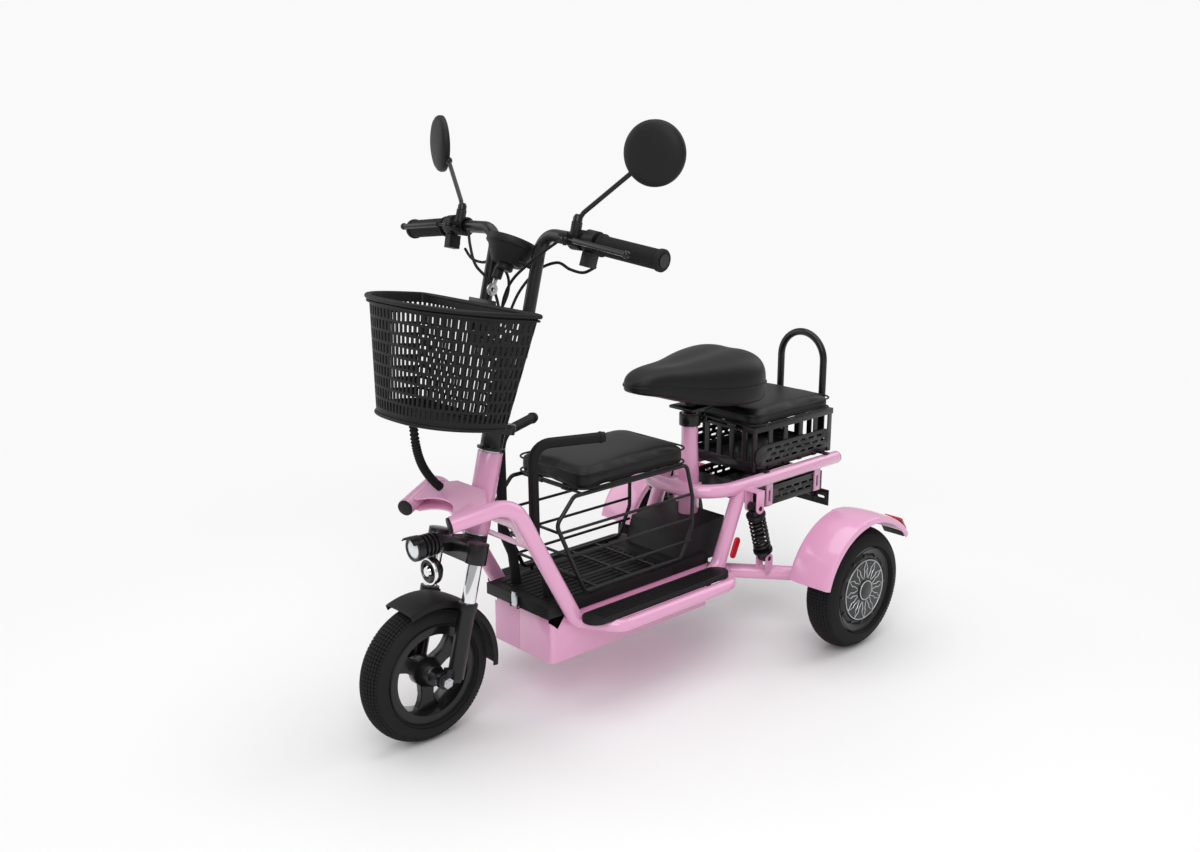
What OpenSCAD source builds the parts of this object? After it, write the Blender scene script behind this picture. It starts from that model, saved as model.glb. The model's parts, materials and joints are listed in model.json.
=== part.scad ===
// Three-wheeled electric step-through scooter with a child seat, two baskets and suspension.
// +Z up, front towards -Y, rider's left towards +X, standing on z = 0.

/* [Wheels] */
// Outside diameter of the tyres
wheel_d = 255; // [245:1:262]
// Width of the front tyre
front_tyre_w = 64; // [52:1:66]
// Width of each rear tyre
rear_tyre_w = 71; // [60:1:78]
// Distance between the middles of the rear tyres
track = 546; // [460:1:640]
// Radius of the front axle
axle_r = 6; // [5:0.5:7]

/* [Frame] */
// Length of the floor between the case front and the strut feet
floor_l = 420; // [350:1:500]
// Width of the battery case
case_w = 172; // [146:1:180]
// Height of the battery case
case_h = 92; // [78:1:98]
// Diameter of the side tubes
side_tube_d = 30; // [26:1:32]
// Diameter of the upper rails
rail_d = 28; // [24:1:32]
// Height of the upper rails' middle
rail_z = 337; // [320:1:350]
// Length of the upper rails behind the front of their U
rail_l = 417; // [380:1:470]
// Sheet thickness of brackets and gussets
plate_t = 3; // [2:0.5:4]

/* [Steering] */
// Backward lean of the steering axis, degrees
rake = 14; // [11:0.5:17]
// Length of the head tube
head_l = 145; // [125:1:165]
// Radius of the steerer
steerer_r = 12.7; // [11:0.1:14]
// Sideways distance of each fork leg from the middle
leg_x = 56; // [54:1:62]
// Radius of the fork stanchions
stanchion_r = 12.7; // [11:0.1:13]
// Radius of the handlebar tube
bar_r = 11.1; // [10:0.1:12.5]
// Distance of a grip's end from the middle
bar_half = 335; // [310:1:360]
// Length of a grip
grip_l = 128; // [110:1:135]

/* [Basket] */
// Width of the front basket's opening
basket_w = 322; // [280:1:340]
// Depth of the front basket's opening
basket_d = 176; // [150:1:190]
// How far the basket stands in front of the uprights
basket_lead = 24; // [18:1:30]
// Rise of the basket's front edge, degrees
basket_tilt = 8; // [4:0.5:11]

/* [Seats] */
// Radius of the seat post
post_r = 12.7; // [11:0.1:13.5]
// Length of the seat post
post_l = 235; // [215:1:245]
// Width of the saddle
saddle_w = 222; // [200:1:250]
// Width of the child cushion
child_w = 190; // [160:1:200]
// Length of the child cushion
child_l = 282; // [240:1:286]
// Width of the rear cushion
rear_seat_w = 200; // [180:1:230]
// Length of the rear cushion
rear_seat_l = 264; // [230:1:268]
// Diameter of the wires of the child seat
wire_d = 8; // [6:0.5:9]

/* [Fits] */
// Gap between pieces that move past each other
play = 0.5; // [0.4:0.1:1]
// Radial clearance of a shaft that turns or slides in its bore
run_gap = 0.05; // [0.02:0.01:0.08]

/* [Hidden] */
$fn = 48;

wheel_r = wheel_d / 2;
SIDES = [1, -1];

// Stations along the frame, from the head tube's foot backwards
head_y = -349;
head_z = 355;
case_front_y = -249;
strut_foot_y = case_front_y + floor_l;
seat_y = strut_foot_y + 29;
u_front_y = strut_foot_y - 31;
rail_end_y = u_front_y + rail_l;
pivot_y = strut_foot_y + 44;
pivot_z = 150;
rear_axle_y = pivot_y + 188.5;

// Side tubes
side_x = 105;
side_z = 170;
side_r = side_tube_d / 2;
nose_x = 65;
nose_tip = [nose_x, head_y - 103, 407.5];
nose_top = [side_x, head_y - 2, 432];
nose_slope = atan((nose_top[2] - nose_tip[2]) / (nose_top[1] - nose_tip[1]));
rail_r = rail_d / 2;
tray_front_y = rail_end_y - 245;
tray_z = rail_z - 62;
end_y = rail_end_y + 40.5;
HANGER_Y = [rail_end_y - 225, rail_end_y - 65];
strut_lean = 23;
strut_top_y = strut_foot_y + (rail_z - side_z) * tan(strut_lean);
side_bend = 45;

// Steering frame: x sideways, y backwards across the axis, z up along it
leg_y = -38;
axle_lead = 24.4;
axle_y = leg_y - axle_lead;
axle_h = (wheel_r - head_z + axle_y * sin(rake)) / cos(rake);
front_axle_y = head_y + axle_y * cos(rake) + axle_h * sin(rake);
crown_top_h = -4.5;
crown_t = 38;
crown_low_h = crown_top_h - crown_t;
leg_r = 15;
seal_h = -112;
leg_foot_h = axle_h + 4;
lip_t = 3;
clamp_low_h = head_l + lip_t + play;
clamp_top_h = clamp_low_h + 50;
upright_x = 60;
upright_y = -19.5;
bar_h = 532;
bar_sweep = [[upright_x, upright_y, 320], [upright_x, upright_y, bar_h],
    [165, -22, bar_h - 4], [bar_half - 6, -2.7, bar_h - 18.5]];
grip_r = 16.4;
grip_in = bar_half - grip_l;
lever_x = 158;
lever_pivot = [lever_x, -54, bar_h - 10];
mirror_foot = [lever_x, -32, bar_h + 24];
mirror_knee = [lever_x + 6, -30, bar_h + 40];
mirror_tip = [243, -14, bar_h + 113];
mirror_r = 52;
stem_dir = (mirror_tip - mirror_knee) / norm(mirror_tip - mirror_knee);
mirror_mid = [281, -12, bar_h + 144];
mirror_turn = 22;

// Floor
case_top_z = 188;
case_low_z = case_top_z - case_h;
case_wall = 2;
lid_z = 212;
lid_half = case_w / 2 + 2.5;
lid_front_y = case_front_y - 12;
lid_l = floor_l - 108;
latch_y = lid_front_y - 4;
latch_z = case_top_z + 4;
lid_rear_y = case_front_y + lid_l;
foot_x = 168;
foot_r = 12.5;
pad_z = side_z + foot_r;

// Seats
child_mid_y = case_front_y + 207;
child_seat_z = 412;
child_t = 36;
cage_x = 88;
hinge_r = 2.5;
child_hinge_y = child_mid_y - child_l / 2 + 12;
child_hinge_z = child_seat_z - 6;
cage_low_z = lid_z + wire_d / 2 + 2.2;
cage_top_z = child_seat_z - wire_d / 2 - play;
tube_top_z = 478;
post_bore = post_r + run_gap;
saddle_z = 484;
rear_seat_z = 447;
rear_seat_t = 30;
rear_seat_front_y = rail_end_y - 274;
hoop_y = rear_seat_front_y + rear_seat_l + 13;
rear_hinge_y = rear_seat_front_y + 3;
rear_hinge_z = rear_seat_z - 6;
hoop_x = 58;
hoop_r = 7.75;

// Rear suspension: (y, z) of each shock's ends
shock_x = 138;
shock_top = [pivot_y + 31, 300];
shock_low = [pivot_y + 68, 184];
shock_len = norm(shock_top - shock_low);
shock_lean = atan((shock_low[0] - shock_top[0]) / (shock_top[1] - shock_low[1]));
arm_r = 15;
wheel_x = track / 2;
hub_in = wheel_x - 33;
hub_out = wheel_x + 32;
rear_axle_r = 7;
fender_r = wheel_r + 32;
fender_half = rear_tyre_w / 2 + 12.5;
fender_foot = 27;
pink = [0.91, 0.66, 0.80];
black = [0.06, 0.06, 0.07];
steel = [0.75, 0.76, 0.78];

// ---------- shared shapes ----------
function unit(v) = v / norm(v);
function turn_at(p, i) = acos(unit(p[i] - p[i - 1]) * unit(p[i + 1] - p[i]));
function trim_at(p, i, bend) =
    (i == 0 || i == len(p) - 1) ? 0 : bend * tan(turn_at(p, i) / 2);
function flip(p, s) = [for (q = p) [s * q[0], q[1], q[2]]];

// A straight round bar from a to b
module bar(a, b, r) {
    v = b - a;
    translate(a)
        rotate([0, acos(v[2] / norm(v)), atan2(v[1], v[0])])
            cylinder(h = norm(v), r = r);
}

// Points along a bent tube whose corners p are rounded with radius bend
function bent(p, bend, steps = 5) = concat([p[0]], [for (i = [1:len(p) - 2])
    let (d1 = unit(p[i] - p[i - 1]), d2 = unit(p[i + 1] - p[i]), u = unit(d2 - (d1 * d2) * d1),
        c = p[i] - trim_at(p, i, bend) * d1 + bend * u)
    for (k = [0:steps])
        c + bend * (sin(turn_at(p, i) * k / steps) * d1 - cos(turn_at(p, i) * k / steps) * u)],
    [p[len(p) - 1]]);

// A bent round bar through the corners p; ref is a direction that it never runs along
module pipe(p, bend, r, ref = [1, 0, 0], sides = 14) hose(bent(p, bend), r, ref, sides);

// A flat bar with round ends, in the XY plane
module slot_2d(l, w) {
    square([l - w, w], center = true);
    for (s = SIDES)
        translate([s * (l - w) / 2, 0])
            circle(d = w);
}

// A rectangle with round corners
module round_2d(w, l, r) {
    square([w - 2 * r, l], center = true);
    square([w, l - 2 * r], center = true);
    for (x = SIDES, y = SIDES)
        translate([x * (w / 2 - r), y * (l / 2 - r)])
            circle(r);
}

// A cylinder that lies along X, between x = a and x = b
module across(a, b, r, y = 0, z = 0) {
    translate([a, y, z])
        rotate([0, 90, 0])
            cylinder(h = b - a, r = r);
}

// Places children in the steering frame
module steered() {
    translate([0, head_y, head_z])
        rotate([-rake, 0, 0])
            children();
}

// A point between b and c on the smooth curve through a, b, c and d
function between(a, b, c, d, t) =
    0.5 * (2 * b + t * (c - a) + t * t * (2 * a - 5 * b + 4 * c - d)
    + t * t * t * (3 * b - a - 3 * c + d));
function smooth(p, n) = concat([for (i = [0:len(p) - 2]) for (k = [0:n - 1])
    between(p[max(i - 1, 0)], p[i], p[i + 1], p[min(i + 2, len(p) - 1)], k / n)],
    [p[len(p) - 1]]);
function heading(p, i, loop) = let (n = len(p)) loop ? unit(p[(i + 1) % n] - p[(i + n - 1) % n])
    : unit(p[min(i + 1, n - 1)] - p[max(i - 1, 0)]);

// A round section swept along p, with its rings turned to the side vector ref
module hose(p, r, ref = [1, 0, 0], sides = 8, loop = false) {
    n = len(p);
    pts = [for (i = [0:n - 1])
        let (d = heading(p, i, loop), u = unit(cross(d, ref)), w = cross(d, u))
        for (k = [0:sides - 1])
            p[i] + r * (cos(360 * k / sides) * u + sin(360 * k / sides) * w)];
    walls = [for (i = [0:(loop ? n - 1 : n - 2)]) for (k = [0:sides - 1])
        let (j = (i + 1) % n, m = (k + 1) % sides)
        [i * sides + k, j * sides + k, j * sides + m, i * sides + m]];
    caps = loop ? [] : [[for (k = [0:sides - 1]) k],
        [for (k = [sides - 1:-1:0]) (n - 1) * sides + k]];
    polyhedron(points = pts, faces = concat(walls, caps));
}

// ---------- frame ----------
function side_path(s) = flip([nose_tip, nose_top, [side_x, strut_foot_y - 374, side_z],
    [side_x, strut_foot_y, side_z], [side_x, strut_top_y, rail_z]], s);
function foot_path(s) = flip([[side_x, case_front_y + 47, side_z + 4],
    [foot_x, case_front_y + 96, side_z], [foot_x, strut_foot_y - 12, side_z],
    [side_x, strut_foot_y - 6, side_z + 4]], s);
function rail_path() = [[side_x, rail_end_y, rail_z], [side_x, u_front_y, rail_z],
    [-side_x, u_front_y, rail_z], [-side_x, rail_end_y, rail_z]];

module side_solid(s, r = side_r) pipe(side_path(s), side_bend, r);

// The U of the upper rails, open to the rear
module rail_solid(r = rail_r) {
    bend = 82;
    for (s = SIDES) {
        bar([s * side_x, u_front_y + bend, rail_z], [s * side_x, rail_end_y, rail_z], r);
        translate([s * (side_x - bend), u_front_y + bend, rail_z])
            rotate([0, 0, s > 0 ? -90 : 180])
                rotate_extrude(angle = 90)
                    translate([bend, 0])
                        circle(r);
    }
    bar([bend - side_x, u_front_y, rail_z], [side_x - bend, u_front_y, rail_z], r);
}

module side_frames() color(pink) for (s = SIDES)
    difference() {
        union() {
            side_solid(s);
            pipe(foot_path(s), 30, foot_r, [0, 0, 1]);
            translate([s * (case_w / 2 + 4), 0, 0])
                pivot_lug();
        }
        rail_solid();
        shock_plate(s);
        across(-side_x, side_x, 6 + run_gap, pivot_y, pivot_z);
    }

// Ear beside the case that carries the swingarm's pivot bolt
module pivot_lug() {
    rotate([90, 0, 90])
        linear_extrude(6, center = true)
            union() {
                translate([strut_foot_y - 20, side_z - 12])
                    square([46, 24]);
                translate([strut_foot_y, pivot_z])
                    square([pivot_y - strut_foot_y, 22]);
                translate([pivot_y, pivot_z])
                    circle(17);
                translate([strut_foot_y - 8, pivot_z])
                    square([54, 12]);
            }
}

module head_frame() color(pink) difference() {
    union() {
        steered()
            cylinder(h = head_l, r = 22.5);
        for (k = [[9, 94], [-12, 86]])
            nose_web(k[0], k[1]);
        head_gusset();
    }
    steered()
        translate([0, 0, -20])
            cylinder(h = head_l + 40, r = 17);
    for (s = SIDES)
        side_solid(s);
}

// One of the two plates between the nose tubes
module nose_web(lift, reach) {
    translate([0, nose_tip[1], nose_tip[2]])
        rotate([nose_slope, 0, 0])
            translate([0, 0, lift])
                linear_extrude(plate_t)
                    difference() {
                        polygon([[-nose_x, 16], [nose_x, 16], [side_x - 22, reach - 28],
                            [40, reach + 6], [-40, reach + 6], [22 - side_x, reach - 28]]);
                        translate([0, -22])
                            circle(64);
                    }
}

// Plate that ties the side tubes below the head tube
module head_gusset() {
    translate([0, head_y + 16, 398])
        rotate([-60, 0, 0])
            linear_extrude(plate_t)
                difference() {
                    translate([-side_x, -8])
                        square([2 * side_x, 92]);
                    translate([0, 52])
                        slot_2d(110, 34);
                }
}

module headset_bearings() color(steel) steered()
    for (k = [[-lip_t, 1], [head_l + lip_t, -1]])
        translate([0, 0, k[0]])
            mirror([0, 0, k[1] < 0 ? 1 : 0])
                difference() {
                    union() {
                        cylinder(h = lip_t, r = 21);
                        cylinder(h = 15, r = 17);
                    }
                    translate([0, 0, -1])
                        cylinder(h = 17, r = steerer_r + run_gap);
                }

module footrest_pads() color(black) for (s = SIDES)
    difference() {
        translate([s * (side_x + foot_x + 2) / 2, (case_front_y + strut_foot_y) / 2 + 12, pad_z])
            pad_block(strut_foot_y - case_front_y);
        pipe(foot_path(s), 30, foot_r + play / 2, [0, 0, 1]);
        side_solid(s, side_r + play / 2);
    }

// One footrest pad for a floor of length l: a long round-ended plate with grooves and two feet
module pad_block(l) {
    difference() {
        rotate([0, 0, 90])
            linear_extrude(9)
                slot_2d(l - 46, 48);
        for (k = [-2:2])
            translate([k * 7.5, 0, 7])
                rotate([0, 0, 90])
                    linear_extrude(5)
                        slot_2d(l - 100, 3);
    }
    for (k = SIDES)
        translate([-13, k * (l / 2 - 82) - 6, side_z + 4 - pad_z])
            cube([26, 12, pad_z - side_z - 4]);
}

module battery_case() color(pink) difference() {
    union() {
        translate([0, case_front_y + floor_l / 2, case_low_z])
            linear_extrude(case_h)
                round_2d(case_w, floor_l, 10);
        for (s = SIDES, y = [90, 240, 360])
            translate([s * (case_w / 2 + 4) - 6, case_front_y + y, side_z - 4])
                cube([12, 30, plate_t]);
    }
    translate([0, case_front_y + floor_l / 2, case_low_z + case_wall])
        linear_extrude(case_h)
            round_2d(case_w - 2 * case_wall, floor_l - 2 * case_wall, 8);
    for (s = SIDES) {
        side_solid(s);
        translate([s * case_w / 2, 0, 0])
            rotate([90, 0, 90])
                linear_extrude(24, center = true)
                    polygon([[case_front_y - 1, case_top_z + 1],
                        [case_front_y - 1, case_top_z - 12], [case_front_y + 14, case_top_z - 26],
                        [case_front_y + 36, case_top_z + 1]]);
    }
    translate([-8, case_front_y - 1, case_low_z - 1])
        cube([1.2, 1.9, case_h + 2]);
}

module battery_pack() color(black)
    translate([0, case_front_y + 150, case_low_z + case_wall]) {
        translate([-70, -130, 0])
            cube([140, 260, 76]);
        for (s = SIDES)
            translate([s * 40 - 5, -9, 76])
                cube([10, 18, 8]);
    }

module motor_controller() color(steel) translate([0, strut_foot_y - 80, case_low_z + case_wall]) {
    translate([-60, -35, 0])
        cube([120, 70, 30]);
    for (k = [-3:3])
        translate([-60, k * 10 - 2, 30])
            cube([120, 4, 8]);
}

module floor_lid() color(black) difference() {
    union() {
        translate([-lid_half, lid_front_y, case_top_z])
            cube([2 * lid_half, lid_rear_y - lid_front_y, lid_z - case_top_z - 2]);
        for (k = [-5:5])
            translate([k * 14 - 5, lid_front_y + 22, lid_z - 3])
                cube([10, lid_rear_y - lid_front_y - 40, 3]);
        for (s = SIDES)
            translate([s * 10 - 1.5, lid_front_y - 7, case_top_z])
                cube([3, 8, 8]);
    }
    across(-13, 13, hinge_r + run_gap, latch_y, latch_z);
    translate([-lid_half + 3, lid_front_y + 3, case_top_z - 1])
        cube([2 * lid_half - 6, lid_rear_y - lid_front_y - 6, lid_z - case_top_z - 5]);
    for (s = SIDES)
        side_solid(s, side_r + play);
}

module rear_cover() color(black) difference() {
    union() {
        translate([-lid_half, lid_rear_y + 1, case_top_z])
            cube([2 * lid_half, strut_foot_y - 6 - lid_rear_y, lid_z - case_top_z - 2]);
        cover_block(0);
    }
    cover_block(3);
    translate([-lid_half + 3, lid_rear_y + 4, case_top_z - 1])
        cube([2 * lid_half - 6, strut_foot_y - 12 - lid_rear_y, lid_z - case_top_z - 5]);
    translate([0, seat_y, case_top_z])
        cylinder(h = 200, r = 21 + play);
    for (s = SIDES)
        side_solid(s, side_r + play);
}

// Raised part of the cover, hollowed by its wall
module cover_block(wall) {
    rotate([90, 0, 90])
        linear_extrude(2 * (76 - wall), center = true)
            polygon([[lid_rear_y + 24 + wall, case_top_z + 2 - wall],
                [lid_rear_y + 48 + wall, 262 - wall], [seat_y + 26 - wall, 272 - wall],
                [seat_y + 26 - wall, case_top_z + 2 - wall]]);
}

module rear_frame() color(pink) difference() {
    union() {
        rail_solid();
        translate([0, seat_y, case_top_z + 6])
            cylinder(h = rail_z + 8 - case_top_z, r = 21);
        translate([0, seat_y, rail_z + 14])
            cylinder(h = 70, r1 = 21, r2 = 17);
        translate([0, seat_y, rail_z + 84])
            cylinder(h = tube_top_z - rail_z - 84, r = 17);
        translate([0, 0, rail_z - plate_t / 2])
            linear_extrude(plate_t)
                difference() {
                    translate([-36, u_front_y])
                        square([72, 60]);
                    translate([0, u_front_y + 24])
                        slot_2d(40, 10);
                }
        for (s = SIDES) {
            for (y = HANGER_Y)
                tray_hanger(s, y);
            shock_bracket(s);
        }
    }
    translate([0, seat_y, 0])
        cylinder(h = tube_top_z + 1, r = post_bore);
    for (s = SIDES)
        across(s * shock_x - 30, s * shock_x + 30, 5 + run_gap, shock_top[0], shock_top[1]);
}

// Slotted plate that hangs from a rail and holds the tray
module tray_hanger(s, y) {
    translate([s * side_x - plate_t / 2, y - 10, rail_z - 62])
        difference() {
            cube([plate_t, 20, 62 - rail_r + 3]);
            translate([-1, 10, 22])
                rotate([90, 0, 90])
                    linear_extrude(plate_t + 2)
                        rotate(90)
                            slot_2d(26, 6);
        }
}

// Clevis outside the rail that holds a shock's top bolt
module shock_bracket(s) {
    for (k = SIDES)
        translate([s * shock_x + k * 15, 0, 0])
            rotate([90, 0, 90])
                linear_extrude(plate_t, center = true) {
                    translate(shock_top)
                        circle(11);
                    translate([shock_top[0] - 11, shock_top[1]])
                        square([22, rail_z - shock_top[1] - 2]);
                }
    shock_plate(s);
}

// Flat plate between a rail and its clevis
module shock_plate(s) {
    translate([s > 0 ? side_x : -shock_x - 16.5, shock_top[0] - 11, rail_z - 4])
        cube([shock_x + 16.5 - side_x, 22, plate_t]);
}

module tube_end_caps() color(black) {
    for (s = SIDES) {
        tip = side_path(s)[0];
        d = unit(tip - side_path(s)[1]);
        bar(tip, tip + 4 * d, side_r - 1);
        translate([s * side_x, rail_end_y, rail_z])
            rotate([-90, 0, 0])
                cylinder(h = 3, r = rail_r - 1);
    }
}

// ---------- child seat ----------
function cage_loop(s) = flip([[cage_x, child_mid_y - 60, cage_low_z],
    [cage_x, child_mid_y - 128, cage_low_z], [cage_x, child_mid_y - 196, 362],
    [cage_x, child_mid_y - 154, cage_top_z], [cage_x, child_mid_y + 140, cage_top_z],
    [cage_x, child_mid_y + 158, 340], [cage_x, child_mid_y + 158, cage_low_z + 60],
    [cage_x, child_mid_y + 128, cage_low_z], [cage_x, child_mid_y - 59, cage_low_z]], s);

module child_seat_frame() color(black) {
    wire = wire_d / 2;
    thin = wire * 0.7;
    lean = 68 / (362 - cage_low_z);
    for (s = SIDES)
        hose(bent(cage_loop(s), 16, 3), wire, [1, 0, 0], 8, true);
    for (z = [250, 295, 345]) {
        y = child_mid_y - 128 - (z - cage_low_z) * lean;
        bar([-cage_x, y, z], [cage_x, y, z], thin);
        for (s = SIDES)
            bar([s * cage_x, y, z], [s * cage_x, child_mid_y + 158, z], thin);
    }
    for (s = SIDES, y = [-110, 90])
        translate([s * (cage_x - 3), child_mid_y + y, lid_z - 2])
            cylinder(h = cage_low_z - lid_z + 2, r = 3);
    across(-cage_x, cage_x, hinge_r, child_hinge_y, child_hinge_z);
    for (y = [-80, 0, 80, 130])
        bar([-cage_x, child_mid_y + y, cage_top_z], [cage_x, child_mid_y + y, cage_top_z], thin);
    for (y = [-95, -5, 60])
        bar([-cage_x, child_mid_y + y, cage_low_z], [cage_x, child_mid_y + y, cage_low_z], thin);
}

module child_grab_handles() color(black) for (s = SIDES)
    pipe(flip([[46, case_front_y + 26, lid_z + 1.4], [46, case_front_y + 18, lid_z + 60],
        [46, case_front_y - 4, 320], [46, case_front_y - 7, 506], [98, case_front_y + 118, 508]],
        s), 32, 9.5, [s * 0.92, -0.38, 0], 12);

module child_cushion() color(black) {
    translate([0, child_mid_y, child_seat_z])
        linear_extrude(child_t)
            round_2d(child_w, child_l, 26);
    knuckles(child_hinge_y, child_hinge_z, child_seat_z);
}

// Two hinge eyes below a cushion, up to its underside at top_z
module knuckles(y, z, top_z) {
    for (s = SIDES)
        difference() {
            union() {
                across(s * 40 - 12, s * 40 + 12, 4, y, z);
                translate([s * 40 - 12, y - 3, z])
                    cube([24, 6, top_z - z]);
            }
            across(s * 40 - 13, s * 40 + 13, hinge_r + run_gap, y, z);
        }
}

// ---------- saddle and rear seat ----------
module seat_clamp() color(black) difference() {
    union() {
        translate([0, seat_y, tube_top_z - 24])
            cylinder(h = 24, r = 22);
        translate([0, seat_y, tube_top_z - 24])
            translate([-9, 14, 0])
                cube([18, 22, 24]);
        for (z = [tube_top_z - 18, tube_top_z - 6])
            across(-15, 15, 3.6, seat_y + 29, z);
    }
    translate([0, seat_y, tube_top_z - 30])
        cylinder(h = 40, r = 17);
    translate([-1.5, seat_y + 10, tube_top_z - 30])
        cube([3, 14, 40]);
}

module seat_post() color(black) {
    translate([0, seat_y, saddle_z + 16 - post_l])
        cylinder(h = post_l, r = post_r);
    difference() {
        translate([-32, seat_y - 28, saddle_z + 4])
            cube([64, 56, 6]);
        translate([0, seat_y, saddle_z])
            cylinder(h = 20, r = post_r);
    }
}

module saddle() color(black) difference() {
    translate([0, seat_y, saddle_z])
        hull() {
            translate([0, 55, 12])
                cylinder(h = 60, r = saddle_w / 2 - 4, $fn = 32);
            translate([0, 55, 2])
                cylinder(h = 104, r = saddle_w / 2 - 30, $fn = 32);
            translate([0, 30, 100])
                cylinder(h = 24, r = 50, $fn = 32);
            translate([0, -148, 68])
                sphere(r = 28, $fn = 24);
            translate([0, -96, 50])
                sphere(r = 34, $fn = 24);
        }
    translate([0, seat_y, saddle_z - 1])
        cylinder(h = 17, r = 46);
}

module rear_basket() color(black) {
    low_z = rail_z + rail_r;
    top_z = rear_seat_z - play;
    front_y = rear_seat_front_y + 8;
    back_y = hoop_y - hoop_r;
    half = rear_seat_w / 2 - 4;
    translate([-half + 6, front_y, low_z])
        difference() {
            cube([2 * half - 12, back_y - front_y, 22]);
            translate([plate_t, plate_t, 2])
                cube([2 * half - 12 - 2 * plate_t, back_y - front_y - 2 * plate_t, 22]);
        }
    difference() {
        translate([-half, front_y, top_z - 12])
            cube([2 * half, back_y - front_y, 12]);
        translate([-half + plate_t, front_y + plate_t, top_z - 13])
            cube([2 * half - 2 * plate_t, back_y - front_y - 2 * plate_t, 14]);
    }
    for (s = SIDES) {
        for (k = [0:5])
            translate([s * (half - 3) - (s > 0 ? plate_t : 0),
                front_y + k * (back_y - front_y - 12) / 5, low_z])
                cube([plate_t, 12, top_z - low_z]);
        translate([s * (half - 1.5) - 1.5, (front_y + back_y) / 2, low_z + 31])
            rotate([90, 0, 90])
                linear_extrude(3)
                    difference() {
                        slot_2d(back_y - front_y - 10, 45);
                        for (row = [-1:1], k = [-3:3])
                            translate([k * 28 + (row == 0 ? 14 : 0), row * 12])
                                slot_2d(18, 5);
                    }
    }
    for (k = [-2:2], y = [front_y, back_y - plate_t])
        translate([k * 34 - 6, y, low_z])
            cube([12, plate_t, top_z - low_z]);
    for (y = [front_y + 20, back_y - 40])
        translate([-side_x - 6, y, low_z])
            cube([2 * side_x + 12, 14, 3]);
    translate([-hoop_x - 8, back_y - plate_t, low_z])
        cube([2 * hoop_x + 16, hoop_r + plate_t, 10]);
    across(-62, 62, hinge_r, rear_hinge_y, rear_hinge_z);
    for (x = [-62, -3, 56])
        translate([x, rear_hinge_y, rear_hinge_z - 2])
            cube([6, front_y - rear_hinge_y + 1, 4]);
    hoop();
}

module hoop() {
    top = 600 - hoop_x;
    for (s = SIDES)
        bar([s * hoop_x, hoop_y, rail_z + 16], [s * hoop_x, hoop_y, top], hoop_r);
    translate([0, hoop_y, top])
        rotate([90, 0, 0])
            rotate_extrude(angle = 180)
                translate([hoop_x, 0])
                    circle(hoop_r);
}

module rear_cushion() color(black) {
    translate([0, rear_seat_front_y + rear_seat_l / 2, rear_seat_z])
        linear_extrude(rear_seat_t)
            round_2d(rear_seat_w, rear_seat_l, 26);
    knuckles(rear_hinge_y, rear_hinge_z, rear_seat_z);
}

module rear_tray() color(black) {
    y0 = tray_front_y;
    z0 = tray_z;
    half = side_x - plate_t / 2;
    l = 200;
    difference() {
        translate([-half, y0, z0])
            cube([2 * half, l, 40]);
        translate([-half + 2, y0 + 2, z0 + 2])
            cube([2 * half - 4, l - 4, 40]);
        for (row = [0, 1], k = [0:4])
            translate([-half - 1, y0 + 48 + k * 26 + row * 12, z0 + 14 + row * 13])
                rotate([90, 0, 90])
                    linear_extrude(2 * half + 2)
                        slot_2d(18, 5);
    }
    plate_bracket(z0);
}

// Arms below the tray that hold the number plate's strip
module plate_bracket(z0) {
    y1 = rail_end_y - 60;
    for (s = SIDES)
        bar([s * 20, y1, z0 - 3], [s * 20, end_y - 8, 226], 4);
    translate([-48, y1 - 12, z0 - 3])
        cube([96, 24, 3]);
    translate([-62, end_y - plate_t, 206])
        difference() {
            cube([124, plate_t, 36]);
            for (s = SIDES)
                translate([62 + s * 42, 5, 18])
                    rotate([90, 0, 0])
                        linear_extrude(10)
                            slot_2d(20, 6);
        }
    for (s = SIDES)
        translate([s * 20 - 5, end_y - 14, 221])
            cube([10, 12, 10]);
}

module reflectors() {
    color([0.7, 0.05, 0.05])
        translate([0, end_y - plate_t, 253])
            rotate([90, 0, 0])
                translate([0, 0, -plate_t])
                    linear_extrude(6)
                        slot_2d(60, 22);
    color(black)
        for (s = SIDES)
            translate([s * (side_x + side_r), strut_foot_y + 38, side_z + 48])
                rotate([-strut_lean, 0, 0])
                    rotate([90, 0, 90])
                        translate([0, 0, s > 0 ? 0 : -4])
                            linear_extrude(4)
                                rotate(90)
                                    slot_2d(44, 16);
}

function hose_route() = [[-30, -401, 441], [-32, -412, 452], [-34, -424, 468],
    [-36, -434, 486], [-37, -441, 506], [-37, -446, 530], [-37, -449, 562]];

module wiring_hose() color(black) hose(smooth(hose_route(), 2), 8);

// ---------- floor latch ----------
module lid_latch() color(steel) {
    across(-11.5, 11.5, hinge_r, latch_y, latch_z);
    translate([-8, latch_y - 1.5, latch_z])
        cube([16, 2, 20]);
    translate([-5, latch_y - 3, latch_z + 18])
        cube([10, 3, 8]);
}

// ---------- steering ----------
module fork_crown() color(black) steered() {
    translate([0, 0, crown_top_h])
        cylinder(h = clamp_top_h - crown_top_h - 4, r = steerer_r);
    difference() {
        union() {
            translate([0, 0, crown_low_h])
                cylinder(h = crown_t, r = 21);
            translate([-leg_x, leg_y - 16, crown_low_h])
                cube([2 * leg_x, 34, crown_t - 8]);
            translate([-19, leg_y, crown_low_h])
                cube([38, 40, crown_t - 4]);
            for (s = SIDES)
                translate([s * leg_x, leg_y, crown_low_h])
                    cylinder(h = crown_t - 2, r = 19);
        }
        for (s = SIDES)
            translate([s * leg_x, leg_y, crown_low_h - 1])
                cylinder(h = crown_t - 8, r = stanchion_r);
    }
}

module stanchions() color(steel) steered()
    for (s = SIDES)
        translate([s * leg_x, leg_y, seal_h - 58])
            cylinder(h = crown_low_h - 1 + crown_t - 8 - seal_h + 58, r = stanchion_r);

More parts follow.
